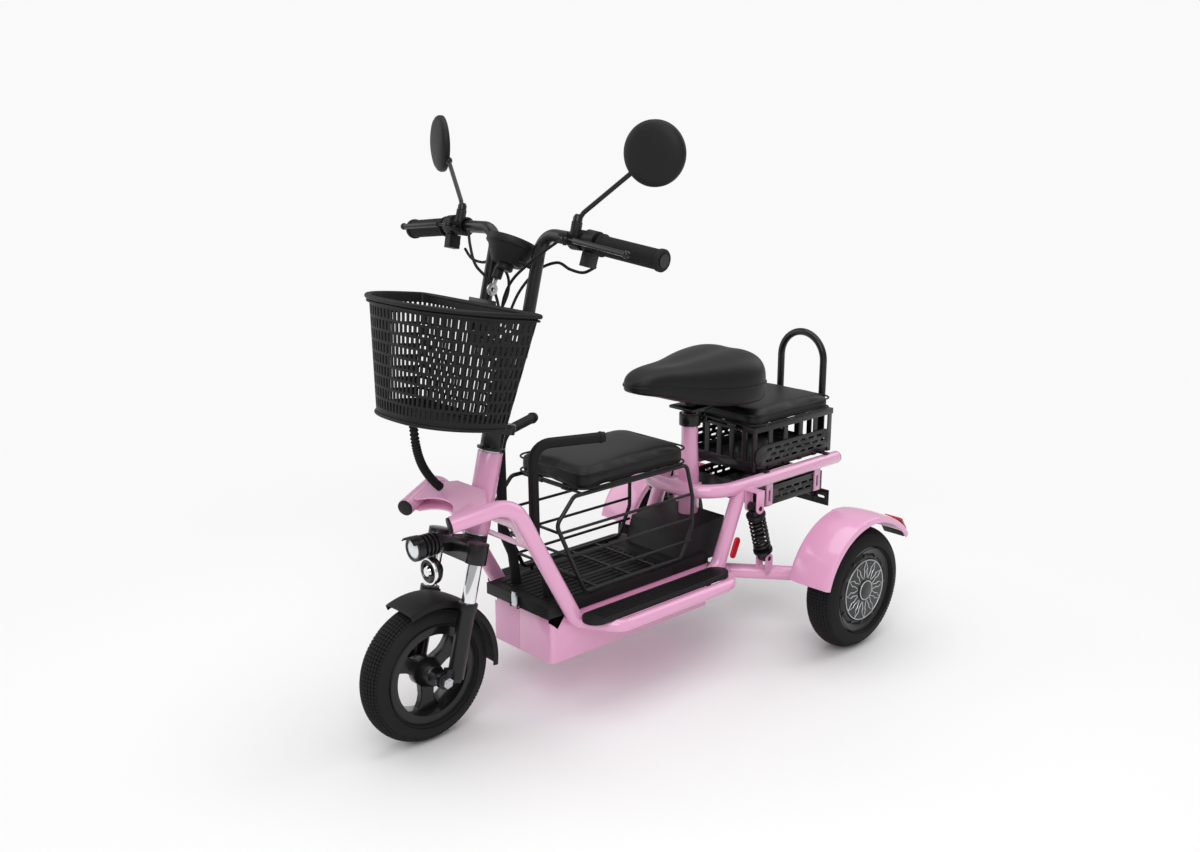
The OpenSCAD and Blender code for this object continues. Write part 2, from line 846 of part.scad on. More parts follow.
module fork_lowers() color(black) steered()
    for (s = SIDES)
        difference() {
            union() {
                translate([s * leg_x, leg_y, leg_foot_h])
                    cylinder(h = seal_h - leg_foot_h, r = leg_r);
                translate([s * leg_x, leg_y, seal_h - 14])
                    cylinder(h = 14, r = leg_r + 2);
                translate([s * leg_x - 6, leg_y - axle_lead, axle_h])
                    rotate([90, 0, 90])
                        linear_extrude(12)
                            union() {
                                circle(14);
                                translate([0, -4])
                                    square([axle_lead + 10, 26]);
                            }
            }
            translate([s * leg_x, leg_y, seal_h - 78])
                cylinder(h = 79, r = stanchion_r + run_gap);
            across(-leg_x - 20, leg_x + 20, axle_r, axle_y, axle_h);
        }

module front_axle() color(steel) steered() {
    across(-leg_x - 17, leg_x + 17, axle_r, axle_y, axle_h);
    for (s = SIDES)
        translate([s * (leg_x + 10.5), axle_y, axle_h])
            rotate([0, 90, 0])
                cylinder(h = 9, r = 10, center = true, $fn = 6);
}

module front_fender() color(black) steered() difference() {
    union() {
        translate([0, axle_y, axle_h])
            rotate([0, -90, 0])
                rotate([0, 0, -36])
                    rotate_extrude(angle = 120)
                        fender_2d(wheel_r + 9, front_tyre_w / 2 + 6, 2.2);
        for (s = SIDES)
            translate([s * (front_tyre_w / 2 + 15) - 11, leg_y - 10, seal_h - 14])
                cube([22, 20, 12]);
    }
    for (s = SIDES)
        translate([s * leg_x, leg_y, leg_foot_h])
            cylinder(h = 160, r = leg_r + 2);
}

// Section of a fender: crowned top, drawn out from the wheel's axis
module fender_2d(r, half, t) {
    translate([r, -half])
        square([t, 2 * half]);
    for (s = SIDES)
        translate([r - 12, s > 0 ? half - t : -half])
            square([12 + t, t]);
}

module front_wheel() color(black) steered() translate([0, axle_y, axle_h]) rotate([0, 90, 0])
    difference() {
        union() {
            cylinder(h = 66, r = 18, center = true);
            cylinder(h = 20, r = 84, center = true);
            rotate_extrude()
                polygon([[74, -26], [90, -26], [90, -22], [80, -14], [80, 14], [90, 22],
                    [90, 26], [74, 26]]);
        }
        cylinder(h = 80, r = axle_r + run_gap, center = true);
        for (k = [0:2])
            rotate([0, 0, 120 * k + 60])
                translate([46, 0, 0])
                    cylinder(h = 40, r = 25, center = true);
        for (s = SIDES)
            translate([0, 0, s * 20])
                difference() {
                    cylinder(h = 20, r = 73, center = true);
                    cylinder(h = 22, r = 24, center = true);
                }
    }

// Section of a tyre, drawn out from the wheel's axis
module tyre_2d(w, rim_r) {
    crown = w / 2;
    difference() {
        union() {
            translate([wheel_r - crown, 0])
                circle(crown);
            translate([rim_r, -w / 2 + 7])
                square([wheel_r - crown - rim_r, w - 14]);
        }
        translate([rim_r - 30, -w])
            square([30, 2 * w]);
        translate([wheel_r - crown, 0])
            circle(crown - 8);
        translate([rim_r - 1, -w / 2 + 15])
            square([wheel_r - crown - rim_r + 1, w - 30]);
    }
}

module front_tyre() color(black) steered() translate([0, axle_y, axle_h]) rotate([0, 90, 0])
    rotate_extrude()
        difference() {
            tyre_2d(front_tyre_w, 80);
            polygon([[70, -26], [90, -26], [90, -22], [80, -14], [80, 14], [90, 22],
                [90, 26], [70, 26]]);
        }

module stem_clamp() color(black) steered() difference() {
    union() {
        translate([0, 0, clamp_low_h])
            cylinder(h = 5, r = 25);
        translate([0, 0, clamp_low_h])
            cylinder(h = 34, r = 20);
        translate([0, 0, clamp_low_h + 32])
            cylinder(h = 18, r = 27);
        translate([14, 14, clamp_low_h + 32])
            cylinder(h = 18, r = 17);
    }
    translate([0, 0, clamp_low_h - 1])
        cylinder(h = clamp_top_h - clamp_low_h + 2, r = steerer_r);
    translate([20, 20, clamp_low_h + 30])
        cylinder(h = 30, r = 4);
}

module handlebar() color(black) steered() {
    for (s = SIDES)
        pipe(flip(bar_sweep, s), 34, bar_r, [0, 1, 0]);
    across(-upright_x, upright_x, bar_r - 1.5, upright_y, 330);
    translate([0, 0, clamp_top_h])
        cylinder(h = 342 - clamp_top_h, r = 16);
}

function plan_xy(w, d) = concat([for (a = [0:10:180])
    [w / 2 * sign(cos(a)) * pow(abs(cos(a)), 0.8), -d * pow(sin(a), 0.8)]],
    [[-w / 2 + 8, 8], [w / 2 - 8, 8]]);

basket_top = [0, -310, 760];
basket_low = [0, -326, 562];

module basket_solid(wall) {
    hull() {
        translate([basket_top[0], basket_top[1] - wall, basket_top[2] - 2])
            linear_extrude(wall > 0 ? 3 : 2)
                polygon(plan_xy(basket_w - 2 * wall, basket_d - 2 * wall));
        translate([basket_low[0], basket_low[1] - wall, basket_low[2] + wall])
            linear_extrude(1)
                polygon(plan_xy(246 - 2 * wall, 138 - 2 * wall));
    }
}

// Places the basket: moved forwards and with its front edge raised
module basket_frame() {
    translate([0, basket_top[1] - basket_lead, basket_top[2]])
        rotate([-basket_tilt, 0, 0])
            translate([0, -basket_top[1], -basket_top[2]])
                children();
}

module front_basket() color(black) basket_frame() {
    difference() {
        basket_solid(0);
        basket_solid(3);
    }
    translate([basket_top[0], basket_top[1], basket_top[2] - 8])
        difference() {
            linear_extrude(9)
                polygon(plan_xy(basket_w + 12, basket_d + 6));
            translate([0, -1, -1])
                linear_extrude(12)
                    polygon(plan_xy(basket_w - 3, basket_d - 2));
        }
}

module basket_bracket() color(black) difference() {
    union() {
        basket_frame() {
            translate([-36, basket_top[1] + 8, 712])
                cube([72, 3, 56]);
            translate([-66, basket_top[1] + 8, 733])
                cube([132, 3, 28]);
        }
        steered()
            for (s = SIDES)
                bar([s * upright_x, -48.8 - basket_lead, 386], [s * upright_x, upright_y, 386], 4);
    }
    steered()
        for (s = SIDES)
            pipe(flip(bar_sweep, s), 34, bar_r, [0, 1, 0]);
}

module instrument() color(black) steered() {
    translate([0, -38, bar_h - 62])
        rotate([-12, 0, 0]) {
            cylinder(h = 30, r1 = 26, r2 = 42);
            translate([0, 0, 30])
                cylinder(h = 14, r = 46);
            translate([0, 0, -10])
                cylinder(h = 10, r = 15);
            translate([-12, 0, -26])
                cylinder(h = 26, r = 9);
        }
    for (s = SIDES)
        difference() {
            bar([s * 20, -38, bar_h - 50], [s * upright_x, upright_y, bar_h - 62], 4);
            pipe(flip(bar_sweep, s), 34, bar_r, [0, 1, 0]);
        }
}

module ignition_key() color(steel) steered() translate([0, -38, bar_h - 62]) rotate([-12, 0, 0])
    translate([-12, 0, -26 - play]) {
        translate([-1.2, -4, -12])
            cube([2.4, 8, 12]);
        translate([0, 0, -20])
            rotate([0, 90, 0])
                difference() {
                    cylinder(h = 3, r = 11, center = true);
                    cylinder(h = 5, r = 4, center = true);
                }
    }

// A point on the handlebar's outer part, at x
function bar_at(x) = let (a = bar_sweep[2], b = bar_sweep[3], t = (x - a[0]) / (b[0] - a[0]))
    a + t * (b - a);
function bar_dir() = unit(bar_sweep[3] - bar_sweep[2]);

// Places children so that their +Z runs outwards along the bar at x
module on_bar(x, s) {
    d = bar_dir();
    p = bar_at(x);
    mirror([s > 0 ? 0 : 1, 0, 0])
        translate(p)
            rotate([0, acos(d[2]), atan2(d[1], d[0])])
                children();
}

// Places a switch in its pod below the bar, y deep from the pod's middle
module switch_at(y) {
    translate([30, y, 11])
        rotate([-90, 0, 0])
            children();
}

module lever_clamps() color(black) steered() for (s = SIDES) {
    mirror([s > 0 ? 0 : 1, 0, 0])
        difference() {
            union() {
                across(lever_x - 14, lever_x + 8, 17, -22, bar_h - 4);
                translate([lever_x - 12, -60, bar_h - 16])
                    cube([20, 38, 5.6]);
                translate([lever_x - 12, -60, bar_h - 4.4])
                    cube([20, 38, 5.6]);
                translate(mirror_foot - [3, 0, 22])
                    cylinder(h = 22, r = 9);
            }
            bar(bar_at(lever_x - 40), bar_at(lever_x + 40), bar_r);
            pipe(bar_sweep, 34, bar_r, [0, 1, 0]);
            translate([lever_pivot[0], lever_pivot[1], bar_h - 30])
                cylinder(h = 40, r = 3 + run_gap);
            translate(mirror_foot - [3, 0, 12])
                cylinder(h = 30, r = 5 + run_gap);
        }
    on_bar(lever_x + 18, s)
        difference() {
            translate([-2, 0, 0])
                cylinder(h = 22, r = 18.5);
            translate([0, 0, -1])
                cylinder(h = 30, r = bar_r);
        }
    on_bar(lever_x + 18, s)
        difference() {
            translate([16, -10, 2])
                cube([24, 22, 18]);
            switch_at(7)
                cylinder(h = 8, r = 6 + play);
        }
}

// A grip with end flange, along the bar
module grip(s, bore) {
    on_bar(grip_in, s)
        difference() {
            union() {
                cylinder(h = grip_l, r = grip_r);
                cylinder(h = 4, r = grip_r + 2.6);
                translate([0, 0, grip_l - 8])
                    cylinder(h = 7, r = grip_r + 2);
            }
            translate([0, 0, -1])
                cylinder(h = grip_l - 3, r = bore);
        }
}

module grip_left() color(black) steered() grip(1, bar_r);
module throttle_grip() color(black) steered() grip(-1, bar_r + run_gap);

module brake_lever(s) color(black) steered() mirror([s > 0 ? 0 : 1, 0, 0]) {
    translate([lever_pivot[0], lever_pivot[1], bar_h - 10.4 + play])
        union() {
            cylinder(h = 6 - 2 * play, r = 8);
            translate([0, 0, -8])
                cylinder(h = 22, r = 3);
        }
    end = [bar_half - 37, -50, bar_h - 20];
    bar([lever_pivot[0] + 6, lever_pivot[1], bar_h - 7.4], [lever_x + 26, -58, bar_h - 9], 2.4);
    bar([lever_x + 25, -58, bar_h - 9], end, 4.5);
    translate(end)
        sphere(6.5);
}

module mirror_stem(s) color(black) steered() mirror([s > 0 ? 0 : 1, 0, 0]) {
    translate(mirror_foot - [3, 0, 12])
        cylinder(h = 18, r = 5);
    translate(mirror_foot - [3, 0, -0.5])
        cylinder(h = 12, r1 = 8, r2 = 5);
    pipe([mirror_foot - [3, 0, 0], mirror_knee, mirror_tip], 8, 4, [0, 1, 0], 10);
    translate(mirror_tip)
        sphere(7);
}

module mirror_head(s) color(black) steered() mirror([s > 0 ? 0 : 1, 0, 0])
    difference() {
        translate(mirror_mid)
            rotate([rake, 0, 0])
                rotate([0, 0, mirror_turn])
                    rotate([90, 0, 0])
                        union() {
                            translate([0, 0, -6])
                                cylinder(h = 8, r = mirror_r);
                            translate([0, 0, 2])
                                cylinder(h = 10, r1 = mirror_r, r2 = mirror_r - 18);
                        }
        translate(mirror_tip)
            sphere(7 + play);
        translate(mirror_tip)
            rotate([0, 180 - acos(stem_dir[2]), atan2(stem_dir[1], stem_dir[0]) + 180])
                cylinder(h = 34, r1 = 6.5, r2 = 16);
    }

module turn_switch() color([0.3, 0.3, 0.32]) steered() on_bar(lever_x + 18, 1) switch_at(9.5) {
    cylinder(h = 4, r = 6);
    translate([-2, -5, 0])
        cube([4, 10, 7]);
}

module horn_button() color([0.5, 0.05, 0.05]) steered() on_bar(lever_x + 18, -1) switch_at(9.5)
    cylinder(h = 5, r = 6);

module headlight() color(black) {
    z = 356;
    y0 = head_y - 137;
    translate([0, y0, z])
        rotate([-90, 0, 0]) {
            difference() {
                cylinder(h = 16, r = 22);
                translate([0, 0, -1])
                    cylinder(h = 8, r = 17);
            }
            translate([0, 0, 16])
                cylinder(h = 40, r = 17);
            for (k = [0:4])
                translate([0, 0, 20 + k * 8])
                    cylinder(h = 3, r = 21);
        }
    steered()
        translate([-6, -76, crown_low_h + 8])
            cube([12, 22, 16]);
}

module horn() color(black) {
    translate([0, head_y - 90, 308])
        rotate([90, 0, 0]) {
            cylinder(h = 16, r = 25);
            translate([0, 0, 16])
                cylinder(h = 6, r1 = 22, r2 = 10);
            translate([0, 0, -8])
                cylinder(h = 8, r = 12);
        }
    translate([-9, head_y - 85, 301])
        cube([18, 4, 34]);
    steered()
        translate([-9, -78, crown_low_h - 3])
            cube([18, 40, 3]);
}

cable_routes = [
    [[120, -36, 520], [96, -44, 498], [68, -48, 474], [34, -44, 448], [12, -38, 418],
        [6, -34, 380], [4, -33.5, 345], [4, -33, 312]],
    [[-120, -36, 520], [-98, -44, 494], [-74, -44, 462], [-44, -34, 440], [-26, -26, 415],
        [-10, -27, 388], [-6, -33.5, 350], [-6, -33, 312]],
    [[176, 6, 490], [150, 6, 478], [118, 4, 480], [84, 3, 488], [40, 1, 470],
        [16, -10, 430], [14, -24, 385], [13, -35, 352]],
    [[-176, 6, 490], [-150, 5, 474], [-116, 4, 470], [-84, 3, 476], [-40, 2, 456],
        [-17, -8, 424], [-17, -20, 385], [-17, -35, 352]]
];

module control_cables() color(black) steered()
    for (p = cable_routes)
        hose(smooth(p, 2), 2.6, [0, 1, 0]);

// ---------- rear suspension and wheels ----------
module swingarm() color(pink) {
    half = case_w / 2 + 1 - play;
    difference() {
        union() {
            across(-half + 1, half - 1, arm_r, pivot_y, pivot_z);
            for (s = SIDES) {
                pipe(arm_path(s), 30, arm_r, [0, 0, 1]);
                dropout(s);
                shock_lug(s);
            }
        }
        for (s = SIDES)
            across(s * shock_x - 30, s * shock_x + 30, 5 + run_gap, shock_low[0], shock_low[1]);
    }
    across(-case_w / 2 - 10, case_w / 2 + 10, 6, pivot_y, pivot_z);
    for (s = SIDES)
        across(s > 0 ? wheel_x - 52 : -hub_out + 6, s > 0 ? hub_out - 6 : -wheel_x + 52,
            rear_axle_r, rear_axle_y, wheel_r);
}

function arm_path(s) = flip([[58, pivot_y, pivot_z], [72, pivot_y + 26, pivot_z - 2],
    [wheel_x - 53, pivot_y + 144, pivot_z - 2], [wheel_x - 53, rear_axle_y - 10, wheel_r + 8]], s);

module dropout(s) {
    translate([s * (wheel_x - 49), 0, 0])
        rotate([90, 0, 90])
            linear_extrude(8, center = true)
                union() {
                    translate([rear_axle_y, wheel_r])
                        circle(24);
                    translate([rear_axle_y - 12, wheel_r])
                        square([24, fender_foot]);
                    translate([pivot_y + 140, pivot_z - 20])
                        square([48, 24]);
                }
}

module shock_lug(s) {
    for (k = SIDES)
        translate([s * shock_x + k * 12.5, 0, 0])
            rotate([90, 0, 90])
                linear_extrude(plate_t, center = true) {
                    translate(shock_low)
                        circle(10);
                    translate([shock_low[0] - 10, pivot_z])
                        square([20, shock_low[1] - pivot_z]);
                }
}

module shock_frame(s) {
    translate([s * shock_x, shock_top[0], shock_top[1]])
        rotate([180 + shock_lean, 0, 0])
            children();
}

module shock_bodies() color(black) for (s = SIDES) shock_frame(s) {
    difference() {
        union() {
            rotate([0, 90, 0])
                cylinder(h = 22, r = 9, center = true);
            translate([0, 0, 6])
                cylinder(h = 10, r = 12);
            translate([0, 0, 16])
                cylinder(h = 5, r = 20);
            translate([0, 0, 20])
                cylinder(h = 48, r = 10);
        }
        translate([0, 0, 24])
            cylinder(h = 50, r = 6);
    }
    across(-17, 17, 5, 0, 0);
}

module shock_rods() color(steel) for (s = SIDES) shock_frame(s) {
    translate([0, 0, 50])
        cylinder(h = shock_len - 50, r = 5);
    translate([0, 0, shock_len - 20])
        cylinder(h = 5, r = 20);
    translate([0, 0, shock_len - 16])
        cylinder(h = 12, r = 10);
    translate([0, 0, shock_len])
        rotate([0, 90, 0])
            cylinder(h = 20, r = 9, center = true);
    translate([0, 0, shock_len])
        across(-14, 14, 5);
}

function coil(r, h, turns, steps) = [for (i = [0:turns * steps])
    [r * cos(360 * i / steps), r * sin(360 * i / steps), h * i / (turns * steps)]];

module shock_springs() color(black) for (s = SIDES) shock_frame(s)
    translate([0, 0, 23.8])
        hose(coil(16, shock_len - 20 - 26.6, 8, 14), 2.5, [0, 0, 1], 6);

module rear_fenders() color(pink) for (s = SIDES) {
    translate([s * wheel_x, rear_axle_y, wheel_r])
        rotate([0, -90, 0])
            rotate([0, 0, -75])
                rotate_extrude(angle = 127)
                    fender_2d(fender_r - 2.5, fender_half, 2.5);
    translate([s * (wheel_x - 50), rear_axle_y, wheel_r + fender_foot])
        translate([-3, -12, 0])
            cube([6, 24, fender_r - 6 - fender_foot]);
}

module tail_lamps() color([0.7, 0.05, 0.05]) for (s = SIDES)
    translate([s * wheel_x, rear_axle_y, wheel_r])
        rotate([36, 0, 0])
            translate([-26, fender_r, -20])
                cube([52, 22, 42]);

module rear_wheel() difference() {
    union() {
        across(hub_in - wheel_x, hub_out - wheel_x, 76);
        rotate([0, 90, 0])
            rotate_extrude()
                polygon([[70, -28], [90, -28], [90, -24], [80, -16], [80, 16], [90, 24],
                    [90, 28], [70, 28]]);
        across(hub_out - wheel_x, hub_out - wheel_x + 3, 20);
    }
    across(hub_in - wheel_x - 1, hub_out - wheel_x - 5, rear_axle_r + run_gap);
}

module rear_tyre()
    rotate([0, 90, 0])
        rotate_extrude()
            difference() {
                tyre_2d(rear_tyre_w, 80);
                polygon([[70, -28], [90, -28], [90, -24], [80, -16], [80, 16], [90, 24],
                    [90, 28], [70, 28]]);
            }

module at_rear(s) {
    translate([s * wheel_x, rear_axle_y, wheel_r])
        mirror([s > 0 ? 0 : 1, 0, 0])
            children();
}

head_frame();
headset_bearings();
side_frames();
footrest_pads();
battery_case();
battery_pack();
motor_controller();
floor_lid();
rear_cover();
rear_frame();
tube_end_caps();
child_seat_frame();
child_grab_handles();
seat_clamp();
rear_basket();
rear_tray();
reflectors();
wiring_hose();
lid_latch();
child_cushion();
rear_cushion();
seat_post();
saddle();
fork_crown();
stanchions();
stem_clamp();
handlebar();
front_basket();
basket_bracket();
instrument();
lever_clamps();
grip_left();
headlight();
horn();
control_cables();
ignition_key();
throttle_grip();
brake_lever(1);  // brake_lever_left
brake_lever(-1);  // brake_lever_right
mirror_stem(1);  // mirror_stem_left
mirror_stem(-1);  // mirror_stem_right
mirror_head(1);  // mirror_head_left
mirror_head(-1);  // mirror_head_right
turn_switch();
horn_button();
fork_lowers();
front_fender();
front_axle();
front_wheel();
front_tyre();
swingarm();
rear_fenders();
tail_lamps();
color(black) at_rear(1) rear_wheel();  // rear_wheel_left
color(black) at_rear(1) rear_tyre();  // rear_tyre_left
color(black) at_rear(-1) rear_wheel();  // rear_wheel_right
color(black) at_rear(-1) rear_tyre();  // rear_tyre_right
shock_bodies();
shock_springs();
shock_rods();
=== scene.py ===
import json
import math
import bpy
from mathutils import Matrix, Vector


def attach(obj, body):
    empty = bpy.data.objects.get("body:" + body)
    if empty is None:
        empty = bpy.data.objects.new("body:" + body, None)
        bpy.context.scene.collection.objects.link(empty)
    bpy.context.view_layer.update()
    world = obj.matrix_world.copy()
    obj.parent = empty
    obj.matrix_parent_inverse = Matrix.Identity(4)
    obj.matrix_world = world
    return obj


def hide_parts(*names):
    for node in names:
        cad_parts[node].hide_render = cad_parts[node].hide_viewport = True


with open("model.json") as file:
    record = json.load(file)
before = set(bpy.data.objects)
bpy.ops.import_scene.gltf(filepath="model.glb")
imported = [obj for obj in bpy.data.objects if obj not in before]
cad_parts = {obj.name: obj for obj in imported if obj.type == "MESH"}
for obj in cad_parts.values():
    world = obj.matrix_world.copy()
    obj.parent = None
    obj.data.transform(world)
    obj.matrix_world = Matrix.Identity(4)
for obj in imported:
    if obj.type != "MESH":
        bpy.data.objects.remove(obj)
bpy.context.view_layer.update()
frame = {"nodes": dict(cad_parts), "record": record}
record = frame["record"]
bpy.ops.object.select_all(action="DESELECT")

# Lengths below are in millimetres and are made metres by MM.
MM = 0.001
SIDES = (1, -1)
RAKE = math.radians(14)
STEER = Matrix.Translation((0, -0.349, 0.355)) @ Matrix.Rotation(-RAKE, 4, "X")
WHEEL_R = 127.5
FRONT_AXLE = STEER @ (Vector((0, -62.4, -250.02)) * MM)
REAR_AXLE = Vector((273, 403.5, 127.5)) * MM
BODY = {n: b for b, names in record["behaviour"]["bodies"].items() for n in names}
SLOT = {p["node"]: p["material_slot"] for p in record["subparts"]}


# ---------- surface finishes ----------
def node_group(name, inputs, outputs):
    group = bpy.data.node_groups.new(name, "ShaderNodeTree")
    for label, value in inputs:
        group.interface.new_socket(label, in_out="INPUT", socket_type="NodeSocketFloat").default_value = value
    for label in outputs:
        group.interface.new_socket(label, in_out="OUTPUT", socket_type="NodeSocketFloat")
    return group, group.nodes.new("NodeGroupInput"), group.nodes.new("NodeGroupOutput")


def grain_group():
    """Fine bumps and a slow change of shade, on object coordinates."""
    group, given, out = node_group("Surface Grain", [("Scale", 300.0), ("Depth", 0.3), ("Patch", 6.0)],
                                   ["Height", "Shade"])
    link = group.links.new
    place = group.nodes.new("ShaderNodeTexCoord")
    fine = group.nodes.new("ShaderNodeTexNoise")
    slow = group.nodes.new("ShaderNodeTexNoise")
    fine.inputs["Detail"].default_value = 4
    link(place.outputs["Object"], fine.inputs["Vector"])
    link(place.outputs["Object"], slow.inputs["Vector"])
    link(given.outputs["Scale"], fine.inputs["Scale"])
    link(given.outputs["Patch"], slow.inputs["Scale"])
    depth = group.nodes.new("ShaderNodeMath")
    depth.operation = "MULTIPLY"
    link(fine.outputs["Fac"], depth.inputs[0])
    link(given.outputs["Depth"], depth.inputs[1])
    link(depth.outputs[0], out.inputs["Height"])
    link(slow.outputs["Fac"], out.inputs["Shade"])
    return group


def hide_group():
    """The pebbled face of leatherette."""
    group, given, out = node_group("Pebbled Hide", [("Scale", 420.0), ("Depth", 0.5)], ["Height"])
    link = group.links.new
    place = group.nodes.new("ShaderNodeTexCoord")
    cells = group.nodes.new("ShaderNodeTexVoronoi")
    link(place.outputs["Object"], cells.inputs["Vector"])
    link(given.outputs["Scale"], cells.inputs["Scale"])
    depth = group.nodes.new("ShaderNodeMath")
    depth.operation = "MULTIPLY"
    link(cells.outputs["Distance"], depth.inputs[0])
    link(given.outputs["Depth"], depth.inputs[1])
    link(depth.outputs[0], out.inputs["Height"])
    return group


def dust_group():
    """A thin film on what faces up, broken by noise."""
    group, given, out = node_group("Settled Dust", [("Amount", 0.1), ("Scale", 14.0)], ["Film"])
    link = group.links.new
    place = group.nodes.new("ShaderNodeTexCoord")
    noise = group.nodes.new("ShaderNodeTexNoise")
    noise.inputs["Detail"].default_value = 6
    link(place.outputs["Object"], noise.inputs["Vector"])
    link(given.outputs["Scale"], noise.inputs["Scale"])
    up = group.nodes.new("ShaderNodeSeparateXYZ")
    link(place.outputs["Normal"], up.inputs[0])
    facing = group.nodes.new("ShaderNodeMath")
    facing.operation = "MULTIPLY"
    facing.use_clamp = True
    link(up.outputs["Z"], facing.inputs[0])
    link(noise.outputs["Fac"], facing.inputs[1])
    film = group.nodes.new("ShaderNodeMath")
    film.operation = "MULTIPLY"
    link(facing.outputs[0], film.inputs[0])
    link(given.outputs["Amount"], film.inputs[1])
    link(film.outputs[0], out.inputs["Film"])
    return group


GRAIN, HIDE, DUST = grain_group(), hide_group(), dust_group()


def finish(name, color, rough, metal=0.0, coat=0.0, grain=0.05, scale=300.0, shade=0.04, dust=0.012,
           hide=0.0, sheen=0.0, clear=0.0, specular=0.24):
    m = bpy.data.materials.new(name)
    m.use_nodes = True
    tree = m.node_tree
    link = tree.links.new
    skin = tree.nodes["Principled BSDF"]
    skin.inputs["Metallic"].default_value = metal
    skin.inputs["Coat Weight"].default_value = coat
    skin.inputs["Coat Roughness"].default_value = 0.06
    skin.inputs["Sheen Weight"].default_value = sheen
    skin.inputs["Specular IOR Level"].default_value = specular
    skin.inputs["Transmission Weight"].default_value = clear
    surface = tree.nodes.new("ShaderNodeGroup")
    surface.node_tree = GRAIN
    surface.inputs["Scale"].default_value = scale
    surface.inputs["Depth"].default_value = grain
    film = tree.nodes.new("ShaderNodeGroup")
    film.node_tree = DUST
    film.inputs["Amount"].default_value = dust
    tone = tree.nodes.new("ShaderNodeMix")
    tone.data_type = "RGBA"
    tone.inputs["A"].default_value = [c * (1 - shade) for c in color] + [1]
    tone.inputs["B"].default_value = [min(1, c * (1 + shade)) for c in color] + [1]
    link(surface.outputs["Shade"], tone.inputs["Factor"])
    dusted = tree.nodes.new("ShaderNodeMix")
    dusted.data_type = "RGBA"
    dusted.inputs["B"].default_value = (0.45, 0.43, 0.40, 1)
    link(film.outputs["Film"], dusted.inputs["Factor"])
    link(tone.outputs["Result"], dusted.inputs["A"])
    link(dusted.outputs["Result"], skin.inputs["Base Color"])
    gloss = tree.nodes.new("ShaderNodeMapRange")
    gloss.inputs["To Min"].default_value = rough * 0.9
    gloss.inputs["To Max"].default_value = min(1, rough * 1.15)
    link(surface.outputs["Shade"], gloss.inputs["Value"])
    link(gloss.outputs["Result"], skin.inputs["Roughness"])
    bump = tree.nodes.new("ShaderNodeBump")
    bump.inputs["Strength"].default_value = 0.5
    bump.inputs["Distance"].default_value = 0.0006
    source = surface.outputs["Height"]
    if hide:
        pebbles = tree.nodes.new("ShaderNodeGroup")
        pebbles.node_tree = HIDE
        pebbles.inputs["Depth"].default_value = hide
        source = pebbles.outputs["Height"]
    link(source, bump.inputs["Height"])
    link(bump.outputs["Normal"], skin.inputs["Normal"])
    return m


FINISH = {
    "pink_paint": finish("Pink Gloss Enamel", (0.80, 0.385, 0.60), 0.20, coat=0.8, grain=0.02, shade=0.03, specular=0.4),
    "black_paint": finish("Black Powder Coat", (0.006, 0.006, 0.007), 0.33, coat=0.25, grain=0.12, scale=900),
    "black_plastic": finish("Black Moulded Plastic", (0.008, 0.008, 0.009), 0.50, grain=0.25, scale=1400),
    "rubber": finish("Soft Black Rubber", (0.006, 0.006, 0.0065), 0.62, grain=0.2, scale=800),
    "tyre_rubber": finish("Tyre Rubber", (0.010, 0.010, 0.011), 0.74, grain=0.3, scale=500, dust=0.02),
    "leatherette": finish("Charcoal Leatherette", (0.006, 0.006, 0.007), 0.42, hide=0.6, sheen=0.02, shade=0.1),
    "chrome": finish("Chrome", (0.82, 0.82, 0.84), 0.07, metal=1, grain=0.0, shade=0.01, dust=0.0),
    "steel": finish("Zinc Steel", (0.56, 0.57, 0.59), 0.30, metal=1, grain=0.05),
    "aluminium": finish("Cast Aluminium", (0.62, 0.63, 0.65), 0.42, metal=1, grain=0.25, scale=700),
    "black_alloy": finish("Black Painted Alloy", (0.006, 0.006, 0.007), 0.28, coat=0.35, grain=0.08, scale=900),
    "red_lens": finish("Red Lens", (0.55, 0.012, 0.02), 0.10, coat=0.9, grain=0.02, shade=0.08, dust=0.0),
    "grey_plastic": finish("Grey Plastic", (0.16, 0.16, 0.17), 0.40, grain=0.1),
    "red_plastic": finish("Red Plastic", (0.48, 0.02, 0.02), 0.30, coat=0.4, grain=0.05),
    "brass": finish("Brass", (0.72, 0.50, 0.20), 0.25, metal=1, grain=0.05),
    "mirror_face": finish("Mirror Face", (0.86, 0.88, 0.90), 0.03, metal=1, grain=0.0, shade=0.01, dust=0.0),
    "dial": finish("Dial Face", (0.72, 0.73, 0.74), 0.35, grain=0.0, shade=0.0, dust=0.0),
    "clear_lens": finish("Clear Lens", (0.80, 0.83, 0.86), 0.08, coat=1.0, grain=0.03, shade=0.05, dust=0.0),
    "orange_lens": finish("Orange Lens", (0.75, 0.22, 0.02), 0.12, coat=0.9, grain=0.02, dust=0.0),
}


# ---------- workshop ----------
def pick(*objects):
    bpy.ops.object.select_all(action="DESELECT")
    for o in objects:
        o.select_set(True)
    bpy.context.view_layer.objects.active = objects[0]


def edit(o, select="SELECT"):
    pick(o)
    bpy.ops.object.mode_set(mode="EDIT")
    bpy.ops.mesh.select_all(action=select)


def leave():
    bpy.ops.object.mode_set(mode="OBJECT")


def choose(o, test, part="FACE"):
    """Selects the faces, edges or vertices of o that pass the test, and opens it for editing."""
    edit(o, "DESELECT")
    bpy.ops.mesh.select_mode(type=part)
    leave()
    for item in {"FACE": o.data.polygons, "EDGE": o.data.edges, "VERT": o.data.vertices}[part]:
        item.select = test(item)
    bpy.ops.object.mode_set(mode="EDIT")


def joined(pieces):
    pick(*pieces)
    if len(pieces) > 1:
        bpy.ops.object.join()
    return bpy.context.object


def placed(o, matrix):
    o.data.transform(matrix)
    return o


